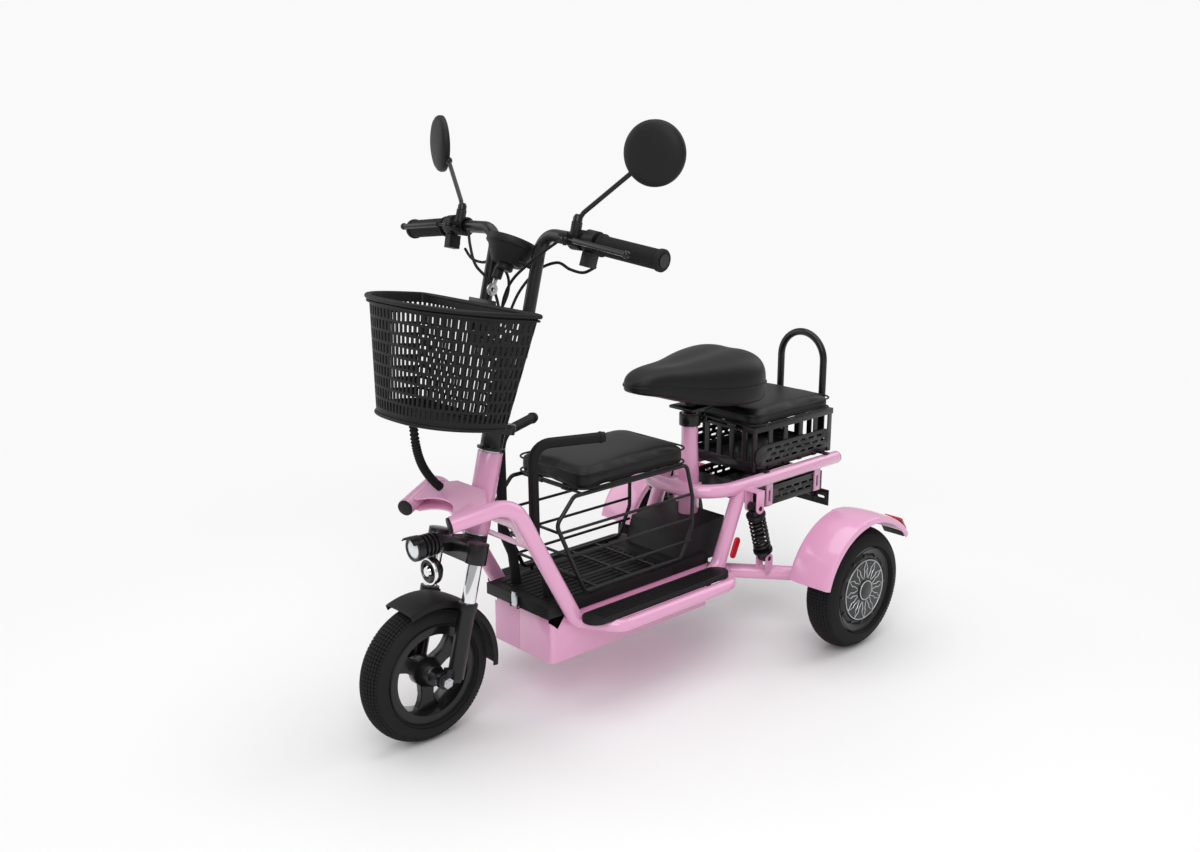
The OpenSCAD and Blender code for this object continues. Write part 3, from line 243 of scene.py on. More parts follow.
def flipped(o):
    """A copy of o on the other side of the vehicle."""
    twin = bpy.data.objects.new(o.name, o.data.copy())
    bpy.context.scene.collection.objects.link(twin)
    twin.data.transform(Matrix.Scale(-1, 4, (1, 0, 0)))
    twin.data.flip_normals()
    return twin


def press(o, kind, **settings):
    """Adds a modifier to o and applies it."""
    pick(o)
    m = o.modifiers.new(kind.title(), kind)
    for key, value in settings.items():
        setattr(m, key, value)
    bpy.ops.object.modifier_apply(modifier=m.name)
    return o


def rounded(o, width, segments=2, angle=30):
    return press(o, "BEVEL", width=width * MM, segments=segments, limit_method="ANGLE",
                 angle_limit=math.radians(angle), use_clamp_overlap=True)


def done(o, name, look, body, nodes=(), angle=38):
    o.name = name.lower().replace(" ", "_") + "_piece"
    o.data.name = o.name
    pick(o)
    bpy.ops.object.transform_apply(location=True, rotation=True, scale=True)
    bpy.ops.object.shade_smooth_by_angle(angle=math.radians(angle))
    o.data.materials.clear()
    o.data.materials.append(FINISH[look])
    if nodes:
        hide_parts(*nodes)
    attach(o, body)
    return o


def block(lo, hi):
    """A box between two corners."""
    bpy.ops.object.select_all(action="DESELECT")
    size = [(b - a) * MM for a, b in zip(lo, hi)]
    bpy.ops.mesh.primitive_cube_add(size=1, location=[(a + b) / 2 * MM for a, b in zip(lo, hi)], scale=size)
    o = bpy.context.object
    bpy.ops.object.transform_apply(location=True, rotation=True, scale=True)
    return o


def disc(centre, r, h, axis="Z", sides=48):
    """A closed cylinder whose middle is at centre."""
    bpy.ops.object.select_all(action="DESELECT")
    turn = {"X": (0, math.pi / 2, 0), "Y": (math.pi / 2, 0, 0), "Z": (0, 0, 0)}[axis]
    bpy.ops.mesh.primitive_cylinder_add(vertices=sides, radius=r * MM, depth=h * MM,
                                        location=[c * MM for c in centre], rotation=turn)
    o = bpy.context.object
    bpy.ops.object.transform_apply(location=True, rotation=True, scale=True)
    return o


def drawn(points):
    """A line of edges through the points, drawn by extruding one vertex."""
    points = [Vector(p) * MM for p in points]
    bpy.ops.object.select_all(action="DESELECT")
    bpy.ops.mesh.primitive_plane_add(size=0.002)
    bpy.ops.object.mode_set(mode="EDIT")
    bpy.ops.mesh.select_mode(type="VERT")
    bpy.ops.mesh.select_all(action="SELECT")
    bpy.ops.mesh.merge(type="CENTER")
    bpy.ops.transform.translate(value=points[0])
    for a, b in zip(points, points[1:]):
        bpy.ops.mesh.extrude_region_move(TRANSFORM_OT_translate={"value": b - a})
    leave()
    return bpy.context.object


def rod(points, r, loop=False, sides=5):
    """A round bar along a line of points."""
    o = drawn(points)
    bpy.ops.object.convert(target="CURVE")
    o = bpy.context.object
    o.data.splines[0].use_cyclic_u = loop
    o.data.bevel_depth = r * MM
    o.data.bevel_resolution = sides
    o.data.use_fill_caps = not loop
    bpy.ops.object.convert(target="MESH")
    return bpy.context.object


def rounded_path(points, bend, steps=8):
    """The points with each inner corner rounded to the radius bend."""
    points = [Vector(p) for p in points]
    path = [points[0]]
    for before, at, after in zip(points, points[1:], points[2:]):
        come, go = (at - before).normalized(), (after - at).normalized()
        turn = come.angle(go)
        if turn < 0.01:
            path.append(at)
            continue
        side = (go - come * come.dot(go)).normalized()
        centre = at - come * bend * math.tan(turn / 2) + side * bend
        path += [centre + bend * (math.sin(turn * k / steps) * come - math.cos(turn * k / steps) * side)
                 for k in range(steps + 1)]
    return path + [points[-1]]


def pipe(points, bend, r, sides=8):
    return rod(rounded_path(points, bend), r, sides=sides)


def mirrored(points, s):
    return [(s * p[0], p[1], p[2]) for p in points]


def turned(profile, matrix=None, steps=64, sweep=360.0, start=0.0):
    """A shape spun about its Z axis from a profile of (radius, height)."""
    begin = math.radians(start)
    o = drawn([(r * math.cos(begin), r * math.sin(begin), h) for r, h in profile])
    edit(o)
    bpy.ops.mesh.spin(steps=steps, angle=-math.radians(sweep), center=(0, 0, 0), axis=(0, 0, 1))
    bpy.ops.mesh.select_all(action="SELECT")
    bpy.ops.mesh.remove_doubles(threshold=0.00002)
    bpy.ops.mesh.normals_make_consistent(inside=False)
    leave()
    return placed(o, matrix) if matrix else o


def axle_frame(place, s=1):
    """Places a turned piece on an axle, its +Z outwards on side s."""
    return Matrix.Translation(place) @ Matrix.Rotation(math.radians(90 * s), 4, "Y")


def refined(node, bevel=0.5, look=None, angle=34):
    """The CAD piece with its doubled corners merged and its edges eased."""
    source = frame["nodes"][node]
    o = bpy.data.objects.new(node, source.data.copy())
    bpy.context.scene.collection.objects.link(o)
    edit(o)
    bpy.ops.mesh.select_mode(type="VERT")
    bpy.ops.mesh.select_all(action="SELECT")
    bpy.ops.mesh.remove_doubles(threshold=0.00001)
    bpy.ops.mesh.dissolve_limited(angle_limit=math.radians(0.6))
    leave()
    if bevel:
        rounded(o, bevel)
    return done(o, node.replace("_", " ").title(), look or SLOT[node], BODY[node], [node], angle)


# ---------- frame tubes ----------
REPLACED = set()
EASE = {"headset_bearings": 0.4, "lid_latch": 0.3, "wiring_hose": 0, "control_cables": 0, "ignition_key": 0.3,
        "shock_springs": 0, "horn_button": 0.4, "turn_switch": 0.4, "floor_lid": 0.7, "footrest_pads": 0.8,
        "battery_case": 0.9, "tail_lamps": 2.0, "fork_crown": 1.0, "seat_clamp": 0.8, "stem_clamp": 0.8}


def stands_for(o, name, look, body, *nodes, angle=38):
    REPLACED.update(nodes)
    return done(o, name, look, body, nodes, angle)


def side_frame(s):
    main = pipe(mirrored([(65, -452, 407.5), (105, -351, 432), (105, -203, 170), (105, 171, 170),
                          (105, 171 + 167 * math.tan(math.radians(23)), 337)], s), 45, 15)
    foot = pipe(mirrored([(105, -202, 174), (168, -153, 170), (168, 159, 170), (105, 165, 174)], s), 30, 12.5)
    lug = joined([disc((s * 90, 215, 150), 17, 6, "X"), block((min(s * 87, s * 93), 163, 150),
                  (max(s * 87, s * 93), 217, 162)), block((min(s * 87, s * 93), 151, 158),
                  (max(s * 87, s * 93), 197, 178)), block((min(s * 87, s * 93), 171, 150),
                  (max(s * 87, s * 93), 215, 171)), disc((s * 94, 215, 150), 9, 3, "X", 6)])
    return [main, foot, lug]


def frame_tubes():
    stands_for(joined(side_frame(1) + side_frame(-1)), "Side Tubes And Footrest Loops", "pink_paint", "frame",
               "side_frames")
    handles = [pipe(mirrored([(46, -223, 212), (46, -231, 272), (46, -253, 320), (46, -256, 506),
                              (98, -131, 508)], s), 32, 9.5) for s in SIDES]
    ends = [placed(turned([(0, 0), (10.5, 0), (11, 3), (9, 8), (4, 11), (0, 11.5)]),
                   Matrix.Translation(Vector((s * 98, -131, 508)) * MM)
                   @ Vector((s * 52, 125, 2)).to_track_quat("Z", "Y").to_matrix().to_4x4()
                   @ Matrix.Translation((0, 0, -0.010))) for s in SIDES]
    stands_for(joined(handles + ends), "Child Grab Handles", "rubber", "frame", "child_grab_handles")
    bars = [placed(pipe(mirrored([(60, -19.5, 320), (60, -19.5, 532), (165, -22, 528), (335, -2, 513)], s),
                        34, 11.1), STEER) for s in SIDES]
    bars.append(placed(rod([(-60, -19.5, 330), (60, -19.5, 330)], 9.6), STEER))
    bars.append(placed(disc((0, 0, 270), 16, 144), STEER))
    stands_for(joined(bars), "Handlebar", "black_paint", "steering", "handlebar")
    for s, side in ((1, "left"), (-1, "right")):
        stem = pipe(mirrored([(155, -32, 556), (164, -30, 572), (243, -14, 645)], s), 8, 4)
        nut = placed(turned([(0, 0), (8, 0), (8, 7), (5, 12), (0, 12)], steps=32),
                     Matrix.Translation(Vector((s * 155, -32, 556.5)) * MM))
        foot = disc((s * 155, -32, 553), 5, 18)
        bpy.ops.mesh.primitive_uv_sphere_add(segments=24, ring_count=14, radius=0.007,
                                             location=Vector((s * 243, -14, 645)) * MM)
        ball = bpy.context.object
        bpy.ops.object.transform_apply(location=True, rotation=True, scale=True)
        stands_for(placed(joined([stem, nut, foot, ball]), STEER), "Mirror Stem " + side.title(), "black_paint",
                   "mirror_stem_" + side, "mirror_stem_" + side)
    coils = []
    for s in SIDES:
        lean = Matrix.Translation(Vector((s * 138, 246, 300)) * MM) @ Matrix.Rotation(
            math.radians(180) + math.atan(37 / 116), 4, "X")
        spiral = [(16 * math.cos(a), 16 * math.sin(a), 23.8 + 75 * a / (16 * math.pi))
                  for a in [math.radians(15 * k) for k in range(8 * 24 + 1)]]
        coils.append(placed(rod(spiral, 2.5, sides=2), lean))
    stands_for(joined(coils), "Shock Springs", "black_paint", "shock_bodies", "shock_springs")
    cables = []
    for path in CABLES:
        cables.append(placed(rod(softened(path, 8), 2.6, sides=3), STEER))
    stands_for(joined(cables), "Control Cables", "rubber", "steering", "control_cables")
    hose = rod(softened([(-30, -401, 441), (-32, -412, 452), (-34, -424, 468), (-36, -434, 486),
                         (-37, -441, 506), (-37, -446, 530), (-37, -449, 562)], 10), 6.6)
    rings = [placed(turned([(6.4, -1.6), (7.9, -0.9), (7.9, 0.9), (6.4, 1.6)], steps=24),
                    Matrix.Translation(Vector(at) * MM) @ Vector(way).to_track_quat("Z", "Y").to_matrix().to_4x4())
             for at, way in ring_places()]
    stands_for(joined([hose] + rings), "Wiring Hose", "rubber", "frame", "wiring_hose")


def softened(points, steps):
    """Points on the smooth curve through the given ones."""
    p = [Vector(q) for q in points]
    path = []
    for i in range(len(p) - 1):
        a, b, c, d = p[max(i - 1, 0)], p[i], p[i + 1], p[min(i + 2, len(p) - 1)]
        for k in range(steps):
            t = k / steps
            path.append(0.5 * (2 * b + t * (c - a) + t * t * (2 * a - 5 * b + 4 * c - d)
                               + t ** 3 * (3 * b - a - 3 * c + d)))
    return path + [p[-1]]


def ring_places():
    line = softened([(-30, -401, 441), (-32, -412, 452), (-34, -424, 468), (-36, -434, 486), (-37, -441, 506),
                     (-37, -446, 530), (-37, -449, 562)], 5)
    return [(line[i], line[i + 1] - line[i - 1]) for i in range(1, len(line) - 1)]


CABLES = [
    [(120, -36, 520), (96, -44, 498), (68, -48, 474), (34, -44, 448), (12, -38, 418), (6, -34, 380),
     (4, -33.5, 345), (4, -33, 312)],
    [(-120, -36, 520), (-98, -44, 494), (-74, -44, 462), (-44, -34, 440), (-26, -26, 415), (-10, -27, 388),
     (-6, -33.5, 350), (-6, -33, 312)],
    [(176, 6, 490), (150, 6, 478), (118, 4, 480), (84, 3, 488), (40, 1, 470), (16, -10, 430), (14, -24, 385),
     (13, -35, 352)],
    [(-176, 6, 490), (-150, 5, 474), (-116, 4, 470), (-84, 3, 476), (-40, 2, 456), (-17, -8, 424),
     (-17, -20, 385), (-17, -35, 352)],
]
frame_tubes()


# ---------- seats ----------
def between(table, t):
    """The value at t on a smooth curve through (t, value) pairs."""
    slopes = [(table[min(i + 1, len(table) - 1)][1] - table[max(i - 1, 0)][1])
              / (table[min(i + 1, len(table) - 1)][0] - table[max(i - 1, 0)][0]) for i in range(len(table))]
    for i in range(len(table) - 1):
        (a, va), (b, vb) = table[i], table[i + 1]
        if t <= b:
            k, span = (t - a) / (b - a), b - a
            return ((2 * k ** 3 - 3 * k ** 2 + 1) * va + (k ** 3 - 2 * k ** 2 + k) * span * slopes[i]
                    + (3 * k ** 2 - 2 * k ** 3) * vb + (k ** 3 - k ** 2) * span * slopes[i + 1])
    return table[-1][1]


def saddle():
    """A wide sprung saddle, shaped from a sphere whose poles are its nose and its back."""
    half = [(0, 34), (0.08, 42), (0.20, 50), (0.40, 72), (0.60, 99), (0.78, 110), (0.92, 107), (1, 92)]
    top = [(0, 578), (0.15, 588), (0.40, 591), (0.70, 601), (0.90, 607), (1, 600)]
    low = [(0, 543), (0.15, 534), (0.35, 514), (0.60, 497), (1, 489)]
    bpy.ops.object.select_all(action="DESELECT")
    bpy.ops.mesh.primitive_uv_sphere_add(segments=64, ring_count=48, radius=1)
    o = bpy.context.object
    for v in o.data.vertices:
        along = math.acos(max(-1, min(1, v.co.z))) / math.pi
        t = 0.5 - 0.5 * math.cos(along * math.pi)
        ends = min(1, (1 - abs(2 * t - 1) ** 5.0)) ** 0.5 if t > 0.5 else min(1, 1 - abs(2 * t - 1) ** 9.0) ** 0.5
        turn = math.atan2(v.co.y, v.co.x)
        c, d = math.cos(turn), math.sin(turn)
        w = between(half, t) * ends
        hi, lo = between(top, t), between(low, t)
        mid = lo + (hi - lo) * 0.42
        x = w * math.copysign(abs(c) ** 0.62, c)
        if d > 0:
            z = mid + (hi - mid) * ends * abs(d) ** 0.72
            dip = 5 * math.exp(-(x / 17) ** 2) * max(0, math.sin(math.pi * (t - 0.15) / 0.85)) * d
            z -= dip
        else:
            z = mid - (mid - lo) * ends ** 0.5 * abs(d) ** 0.35
        v.co = Vector((x, 25 + 338 * t, z)) * MM
    edit(o)
    bpy.ops.mesh.normals_make_consistent(inside=False)
    leave()
    press(o, "SUBSURF", levels=1, render_levels=1)
    stands_for(o, "Saddle Cover", "leatherette", "saddle", "saddle", angle=60)
    seam = []
    for k in range(96):
        a = 2 * math.pi * k / 96
        t = 0.5 - 0.5 * math.cos(a / 2 * 2) if a <= math.pi else 0.5 - 0.5 * math.cos(a)
        ends = (1 - abs(2 * t - 1) ** (5.0 if t > 0.5 else 9.0)) ** 0.5
        side = 1 if a <= math.pi else -1
        hi, lo = between(top, t), between(low, t)
        seam.append((side * (between(half, t) * ends + 0.3), 25 + 338 * t + (1.2 if t > 0.97 else 0),
                     lo + (hi - lo) * 0.42))
    done(rod(seam, 2.1, loop=True, sides=2), "Saddle Piping", "leatherette", "saddle")


def outline(w, l, r, mid_y, z, out=0.0):
    """A rounded rectangle of points."""
    points = []
    for cx, cy, start in ((1, 1, 0), (-1, 1, 90), (-1, -1, 180), (1, -1, 270)):
        for k in range(9):
            a = math.radians(start + 90 * k / 8)
            points.append((cx * (w / 2 - r) + (r + out) * math.cos(a),
                           mid_y + cy * (l / 2 - r) + (r + out) * math.sin(a), z))
    return points


def cushion(name, node, w, l, mid_y, low, high, body):
    """A padded seat: a block with round corners, swollen as cloth, with piping round both edges."""
    slack = 2
    o = block((-w / 2 + slack, mid_y - l / 2 + slack, low + 1), (w / 2 - slack, mid_y + l / 2 - slack, high - 5))
    choose(o, lambda e: abs(o.data.vertices[e.vertices[0]].co.z - o.data.vertices[e.vertices[1]].co.z) > 0.01,
           "EDGE")
    bpy.ops.mesh.bevel(offset=0.022, segments=8)
    leave()
    rounded(o, 5, 3, 40)
    press(o, "REMESH", mode="VOXEL", voxel_size=0.0045)
    rest = [v.co.copy() for v in o.data.vertices]
    floor_z = low * MM
    pick(o)
    cloth = o.modifiers.new("Cloth", "CLOTH")
    cloth.settings.use_pressure = True
    cloth.settings.uniform_pressure_force = 4
    cloth.settings.effector_weights.gravity = 0
    cloth.settings.quality = 5
    for step in range(1, 19):
        bpy.context.scene.frame_set(step)
    bpy.ops.object.modifier_apply(modifier="Cloth")
    bpy.context.scene.frame_set(1)
    for v, was in zip(o.data.vertices, rest):
        move = v.co - was
        if move.length > 0.007:
            v.co = was + move.normalized() * 0.007
        x, y = was.x / (w / 2 * MM), (was.y - mid_y * MM) / (l / 2 * MM)
        if was.z > (low + 10) * MM:
            v.co.z += 0.004 * max(0, 1 - x ** 4) * max(0, 1 - y ** 4)
        v.co.z = max(v.co.z, floor_z)
    edit(o)
    bpy.ops.mesh.vertices_smooth(factor=0.5, repeat=2)
    leave()
    for v in o.data.vertices:
        v.co.z = max(v.co.z, floor_z)
    stands_for(o, name, "leatherette", body, node, angle=70)
    cords = [rod(outline(w - 2, l - 2, 25, mid_y, z), 2.0, loop=True, sides=2) for z in (low + 4, high - 5)]
    eyes = []
    hinge_y, hinge_z = (-171, 406) if node == "child_cushion" else (286, 441)
    for s in SIDES:
        eyes += [disc((s * 40, hinge_y, hinge_z), 4, 24, "X", 24),
                 block((s * 40 - 12, hinge_y - 3, hinge_z), (s * 40 + 12, hinge_y + 3, low + 1))]
    done(joined(cords), name + " Piping", "leatherette", body)
    done(joined(eyes), name + " Hinge Eyes", "black_paint", body)


saddle()
cushion("Child Cushion", "child_cushion", 190, 282, -42, 412, 448, "child_cushion")
cushion("Rear Cushion", "rear_cushion", 200, 264, 415, 447, 477, "rear_cushion")


# ---------- wire cage of the child seat ----------
def cage():
    loop = [(88, -102, 218.2), (88, -170, 218.2), (88, -238, 362), (88, -196, 407.5), (88, 98, 407.5),
            (88, 116, 340), (88, 116, 278.2), (88, 86, 218.2), (88, -101, 218.2)]
    wires = []
    for s in SIDES:
        wires.append(rod([p for p in rounded_path(mirrored(loop, s), 16)], 4, sides=4))
        for z in (250, 295, 345):
            y = -170 - (z - 218.2) * 68 / 143.8
            wires.append(rod([(s * 88, y, z), (s * 88, 116, z)], 2.8, sides=3))
        for y in (-152, 48):
            wires.append(disc((s * 85, y, 214.1), 3, 8.2, sides=16))
    for z in (250, 295, 345):
        y = -170 - (z - 218.2) * 68 / 143.8
        wires.append(rod([(-88, y, z), (88, y, z)], 2.8, sides=3))
    for y in (-122, -42, 38, 88):
        wires.append(rod([(-88, y, 407.5), (88, y, 407.5)], 2.8, sides=3))
    for y in (-137, -47, 18):
        wires.append(rod([(-88, y, 218.2), (88, y, 218.2)], 2.8, sides=3))
    wires.append(rod([(-88, -171, 406), (88, -171, 406)], 2.5, sides=3))
    stands_for(joined(wires), "Child Seat Wire Cage", "black_paint", "frame", "child_seat_frame")


cage()


# ---------- front basket ----------
def plan(w, d, columns):
    """The basket's outline: round in front, straight behind, as (x, y) from the middle of its back edge."""
    line = []
    for k in range(181):
        a = math.radians(k)
        line.append((w / 2 * math.copysign(abs(math.cos(a)) ** 0.8, math.cos(a)), -d * math.sin(a) ** 0.8))
    for k in range(1, 40):
        line.append((-w / 2 + w * k / 40, 8 - 8 * abs(2 * k / 40 - 1) ** 12))
    line.append(line[0])
    lengths = [0]
    for a, b in zip(line, line[1:]):
        lengths.append(lengths[-1] + math.dist(a, b))
    points, i = [], 0
    for k in range(columns):
        want = lengths[-1] * k / columns
        while lengths[i + 1] < want:
            i += 1
        f = (want - lengths[i]) / max(1e-9, lengths[i + 1] - lengths[i])
        points.append(tuple(a + f * (b - a) for a, b in zip(line[i], line[i + 1])))
    return points


def front_basket():
    columns = 156
    rows = [562, 570, 577]
    for k in range(9):
        rows += [577 + 19 * k + 15, 577 + 19 * k + 19]
    rows += [760]
    bpy.ops.object.select_all(action="DESELECT")
    bpy.ops.mesh.primitive_cylinder_add(vertices=columns, radius=0.1, depth=0.1, end_fill_type="NOTHING")
    o = bpy.context.object
    for v in o.data.vertices:
        k = round(math.atan2(v.co.x, v.co.y) / (2 * math.pi) * columns) % columns
        low = v.co.z < 0
        x, y = plan(246, 138, columns)[k] if low else plan(322, 176, columns)[k]
        v.co = Vector((x, y + (-326 if low else -310), 562 if low else 760)) * MM
    for z in rows[1:-1]:
        edit(o)
        bpy.ops.mesh.bisect(plane_co=(0, 0, z * MM), plane_no=(0, 0, 1))
        leave()

    def slotted(face):
        z = face.center.z / MM
        row = int((z - 577) // 19)
        if not 0 <= row < 9 or (z - 577) % 19 > 15:
            return False
        x, y = face.center.x / MM, face.center.y / MM
        f = (z - 562) / 198
        k = nearest_column(x, y - (-326 + 16 * f), 246 + 76 * f, 138 + 38 * f, columns)
        return (k + row) % 2 == 0
    choose(o, slotted)
    bpy.ops.mesh.delete(type="FACE")
    leave()
    choose(o, lambda e: all(abs(o.data.vertices[i].co.z - 0.562) < 1e-5 for i in e.vertices), "EDGE")
    bpy.ops.mesh.edge_face_add()
    leave()
    choose(o, lambda f: abs(f.normal.z) > 0.9)
    bpy.ops.mesh.inset(thickness=0.012)
    leave()
    edit(o)
    bpy.ops.mesh.normals_make_consistent(inside=False)
    leave()
    press(o, "SOLIDIFY", thickness=0.0028, offset=-1)
    rounded(o, 0.5, 1, 50)
    rim = []
    for grow, z, r in ((3, 757.5, 4.2), (2, 750, 2.0)):
        rim.append(rod([(x, y - 310, z) for x, y in plan(322 + 2 * grow, 176 + grow, 110)], r, loop=True,
                       sides=4))
    band = plan(248, 139, 110)
    rim.append(rod([(x, y - 326, 565) for x, y in band], 3.0, loop=True, sides=3))
    hung = (Matrix.Translation(Vector((0, -334, 760)) * MM) @ Matrix.Rotation(math.radians(-8), 4, "X")
            @ Matrix.Translation(Vector((0, 310, -760)) * MM))
    stands_for(placed(joined([o] + rim), hung), "Front Basket", "black_plastic", "steering", "front_basket")


OUTLINES = {}


def nearest_column(x, y, w, d, columns):
    key = round(w, 1)
    if key not in OUTLINES:
        points = plan(w, d, columns)
        OUTLINES[key] = [((a[0] + b[0]) / 2, (a[1] + b[1]) / 2) for a, b in zip(points, points[1:] + points[:1])]
    middles = OUTLINES[key]
    return min(range(columns), key=lambda k: (middles[k][0] - x) ** 2 + (middles[k][1] - y) ** 2)


front_basket()


# ---------- tyres and wheels ----------
def tyre(width, matrix):
    """A tyre with a round tread of raised blocks between grooves."""
    crown = width / 2
    profile = [(80, -17), (80, -21), (91, -25), (97, -crown + 2.5), (WHEEL_R - crown, -crown + 0.6)]
    for k in range(1, 18):
        a = math.radians(-90 + 10 * k)
        profile.append((WHEEL_R - crown + (crown - 2.2) * math.cos(a), (crown - 0.6) * math.sin(a)))
    profile += [(r, -h) for r, h in reversed(profile[:5])]
    o = turned(profile + [profile[0]], steps=112)

    def treads(face):
        r = math.hypot(face.center.x, face.center.y) / MM
        return r > WHEEL_R - 15 and abs(face.center.z) / MM < crown - 8
    choose(o, treads)
    bpy.ops.mesh.inset(thickness=0.0009, depth=0.0020, use_individual=True)
    leave()
    ribs = [turned([(WHEEL_R - crown - 4 + 0.9 * math.cos(math.radians(60 * k)),
                     s * (crown - 0.9) + 0.9 * math.sin(math.radians(60 * k))) for k in range(7)], steps=96)
            for s in SIDES]
    return placed(joined([o] + ribs), matrix)


def valve(matrix, r):
    """A brass valve with its cap, standing on the rim."""
    stem = turned([(0, 0), (4, 0), (4, 3), (2.6, 4), (2.6, 20), (3.6, 21), (3.6, 29), (2.6, 30), (0, 30)],
                  steps=24)
    lean = Matrix.Translation((r * MM, 0, 0.004)) @ Matrix.Rotation(math.radians(-68), 4, "Y")
    return placed(stem, matrix @ lean)


def rear_wheel(s, side):
    at = axle_frame(Vector((s * REAR_AXLE.x, REAR_AXLE.y, REAR_AXLE.z)), s)
    hub = turned([(7.1, -33), (60, -33), (74, -30), (76, -26), (88, -27.5), (90, -26), (90, -22), (82, -15),
                  (82, 15), (90, 22), (90, 26), (88, 27.5), (77, 26), (74, 24), (70, 27), (66, 27.5), (64, 30),
                  (30, 31.5), (22, 31.5), (21, 34), (18, 35), (0, 35), (0, 27), (7.1, 27), (7.1, -33)], steps=96)
    slots = [placed(disc((0, 0, 0), 3.2, 4, sides=16), Matrix.Rotation(math.radians(30 * k), 4, "Z")
                    @ Matrix.Translation((0.0705, 0, 0.0262))) for k in range(12)]
    stands_for(placed(joined([hub] + slots), at), "Hub Motor Wheel " + side, "black_alloy", BODY["rear_wheel_" + side.lower()],
               "rear_wheel_" + side.lower())
    rays = []
    for k in range(12):
        a = math.radians(30 * k)
        way = [(25, -5.5), (40, -3.5), (46, -6), (61, 0), (46, 6), (40, 3.5), (25, 5.5)]
        line = [(x * math.cos(a) - y * math.sin(a), x * math.sin(a) + y * math.cos(a), 31.0) for x, y in way]
        rays.append(rod(line, 0.9, sides=1))
    for r, h in ((19.5, 34.2), (62.5, 30.2)):
        rays.append(turned([(r + 1.1 * math.cos(math.radians(45 * k)), h + 1.1 * math.sin(math.radians(45 * k)))
                            for k in range(9)], steps=72))
    done(placed(joined(rays), at), "Hub Cover Rays " + side, "aluminium", BODY["rear_wheel_" + side.lower()])
    done(valve(at, 82), "Rear Valve " + side, "brass", BODY["rear_wheel_" + side.lower()])
    stands_for(tyre(71, at), "Rear Tyre " + side, "tyre_rubber", BODY["rear_wheel_" + side.lower()],
               "rear_tyre_" + side.lower())


def front_wheel():
    at = Matrix.Translation(FRONT_AXLE) @ Matrix.Rotation(math.radians(90), 4, "Y")
    rim = turned([(74, -26), (88, -27), (90, -26), (90, -22), (81, -14), (81, 14), (90, 22), (90, 26), (88, 27),
                  (74, 26), (71, 16), (71, -16), (74, -26)], steps=96)
    hub = turned([(6.05, -33), (17, -33), (19, -31), (24, -14), (27, -10), (27, 10), (24, 14), (19, 31),
                  (17, 33), (6.05, 33), (6.05, -33)], steps=64)
    spokes = []
    for k in range(3):
        o = block((20, -15, -8), (76, 15, 8))
        for v in o.data.vertices:
            if v.co.x > 0.05:
                v.co.y *= 1.9
            v.co.z *= 1.15 if v.co.x < 0.05 else 0.9
        edit(o)
        bpy.ops.mesh.subdivide(number_cuts=4)
        leave()
        for v in o.data.vertices:
            t = (v.co.x / MM - 20) / 56
            v.co.y *= 0.62 + 0.38 * abs(2 * t - 0.9) ** 1.6
        rounded(o, 3, 3, 40)
        spokes.append(placed(o, Matrix.Rotation(math.radians(120 * k), 4, "Z")))
    stands_for(placed(joined([rim, hub] + spokes), at), "Front Wheel", "black_alloy", "front_wheel",
               "front_wheel", angle=45)
    done(valve(at @ Matrix.Rotation(math.radians(75), 4, "Z"), 70), "Front Valve", "brass", "front_wheel")
    stands_for(tyre(64, at), "Front Tyre", "tyre_rubber", "front_wheel", "front_tyre")


front_wheel()
rear_wheel(1, "Left")
rear_wheel(-1, "Right")


# ---------- fenders and lamps ----------
def fender(r, half, start, sweep, matrix, skirt=11, t=2.4):
    """A crowned fender, spun from its section and given a wall; angle 0 is up and angles run rearwards."""
    section = [(r - skirt, half), (r - 5, half), (r - 1.2, half - 1.5)]
    for k in range(1, 12):
        f = 1 - 2 * k / 12
        section.append((r - 1 + 3.2 * (1 - f * f), (half - 2) * f))
    section += [(a, -b) for a, b in reversed(section[:3])]
    o = turned(section, steps=48, sweep=sweep, start=start)
    press(o, "SOLIDIFY", thickness=t * MM, offset=-1, use_rim=True)
    rounded(o, 0.8, 2, 50)
    return placed(o, matrix)


def fenders():
    # A spun piece's angle 0 is +X here, so it is turned to make that up and +Y rearwards.
    upright = Matrix.Rotation(math.radians(-90), 4, "Y")
    pieces = []
    for s in SIDES:
        axle = Vector((s * REAR_AXLE.x, REAR_AXLE.y, REAR_AXLE.z))
        pieces.append(fender(157.5, 48, -75, 127, Matrix.Translation(axle) @ upright, skirt=13))
        plate = block((s * 223 - 3, 391.5, 154.5), (s * 223 + 3, 415.5, 281))
        pieces.append(rounded(plate, 1))
    stands_for(joined(pieces), "Rear Fenders", "pink_paint", "swingarm", "rear_fenders", angle=50)
    front = fender(137, 38, -36, 120, Matrix.Translation(FRONT_AXLE) @ Matrix.Rotation(-RAKE, 4, "X") @ upright,
                   skirt=13, t=2.0)
    tabs = [placed(rounded(block((min(s * 36, s * 42), -48, -126), (max(s * 36, s * 42), -28, -114)), 1), STEER)
            for s in SIDES]
    stands_for(joined([front] + tabs), "Front Fender", "black_plastic", "fork_lowers", "front_fender", angle=50)


def tail_lamps():
    bodies, lenses = [], []
    for s in SIDES:
        at = Matrix.Translation(Vector((s * 273, 403.5, 127.5)) * MM) @ Matrix.Rotation(math.radians(36), 4, "X")
        case = rounded(block((-26, 159.6, -20), (26, 172, 22)), 3, 3)
        bodies.append(placed(case, at))
        lens = block((-23, 171, -17), (23, 181, 19))
        rounded(lens, 5, 4)
        lenses.append(placed(lens, at))
    done(joined(bodies), "Tail Lamp Cases", "black_plastic", "swingarm")
    stands_for(joined(lenses), "Tail Lamp Lenses", "red_lens", "swingarm", "tail_lamps")


fenders()
tail_lamps()


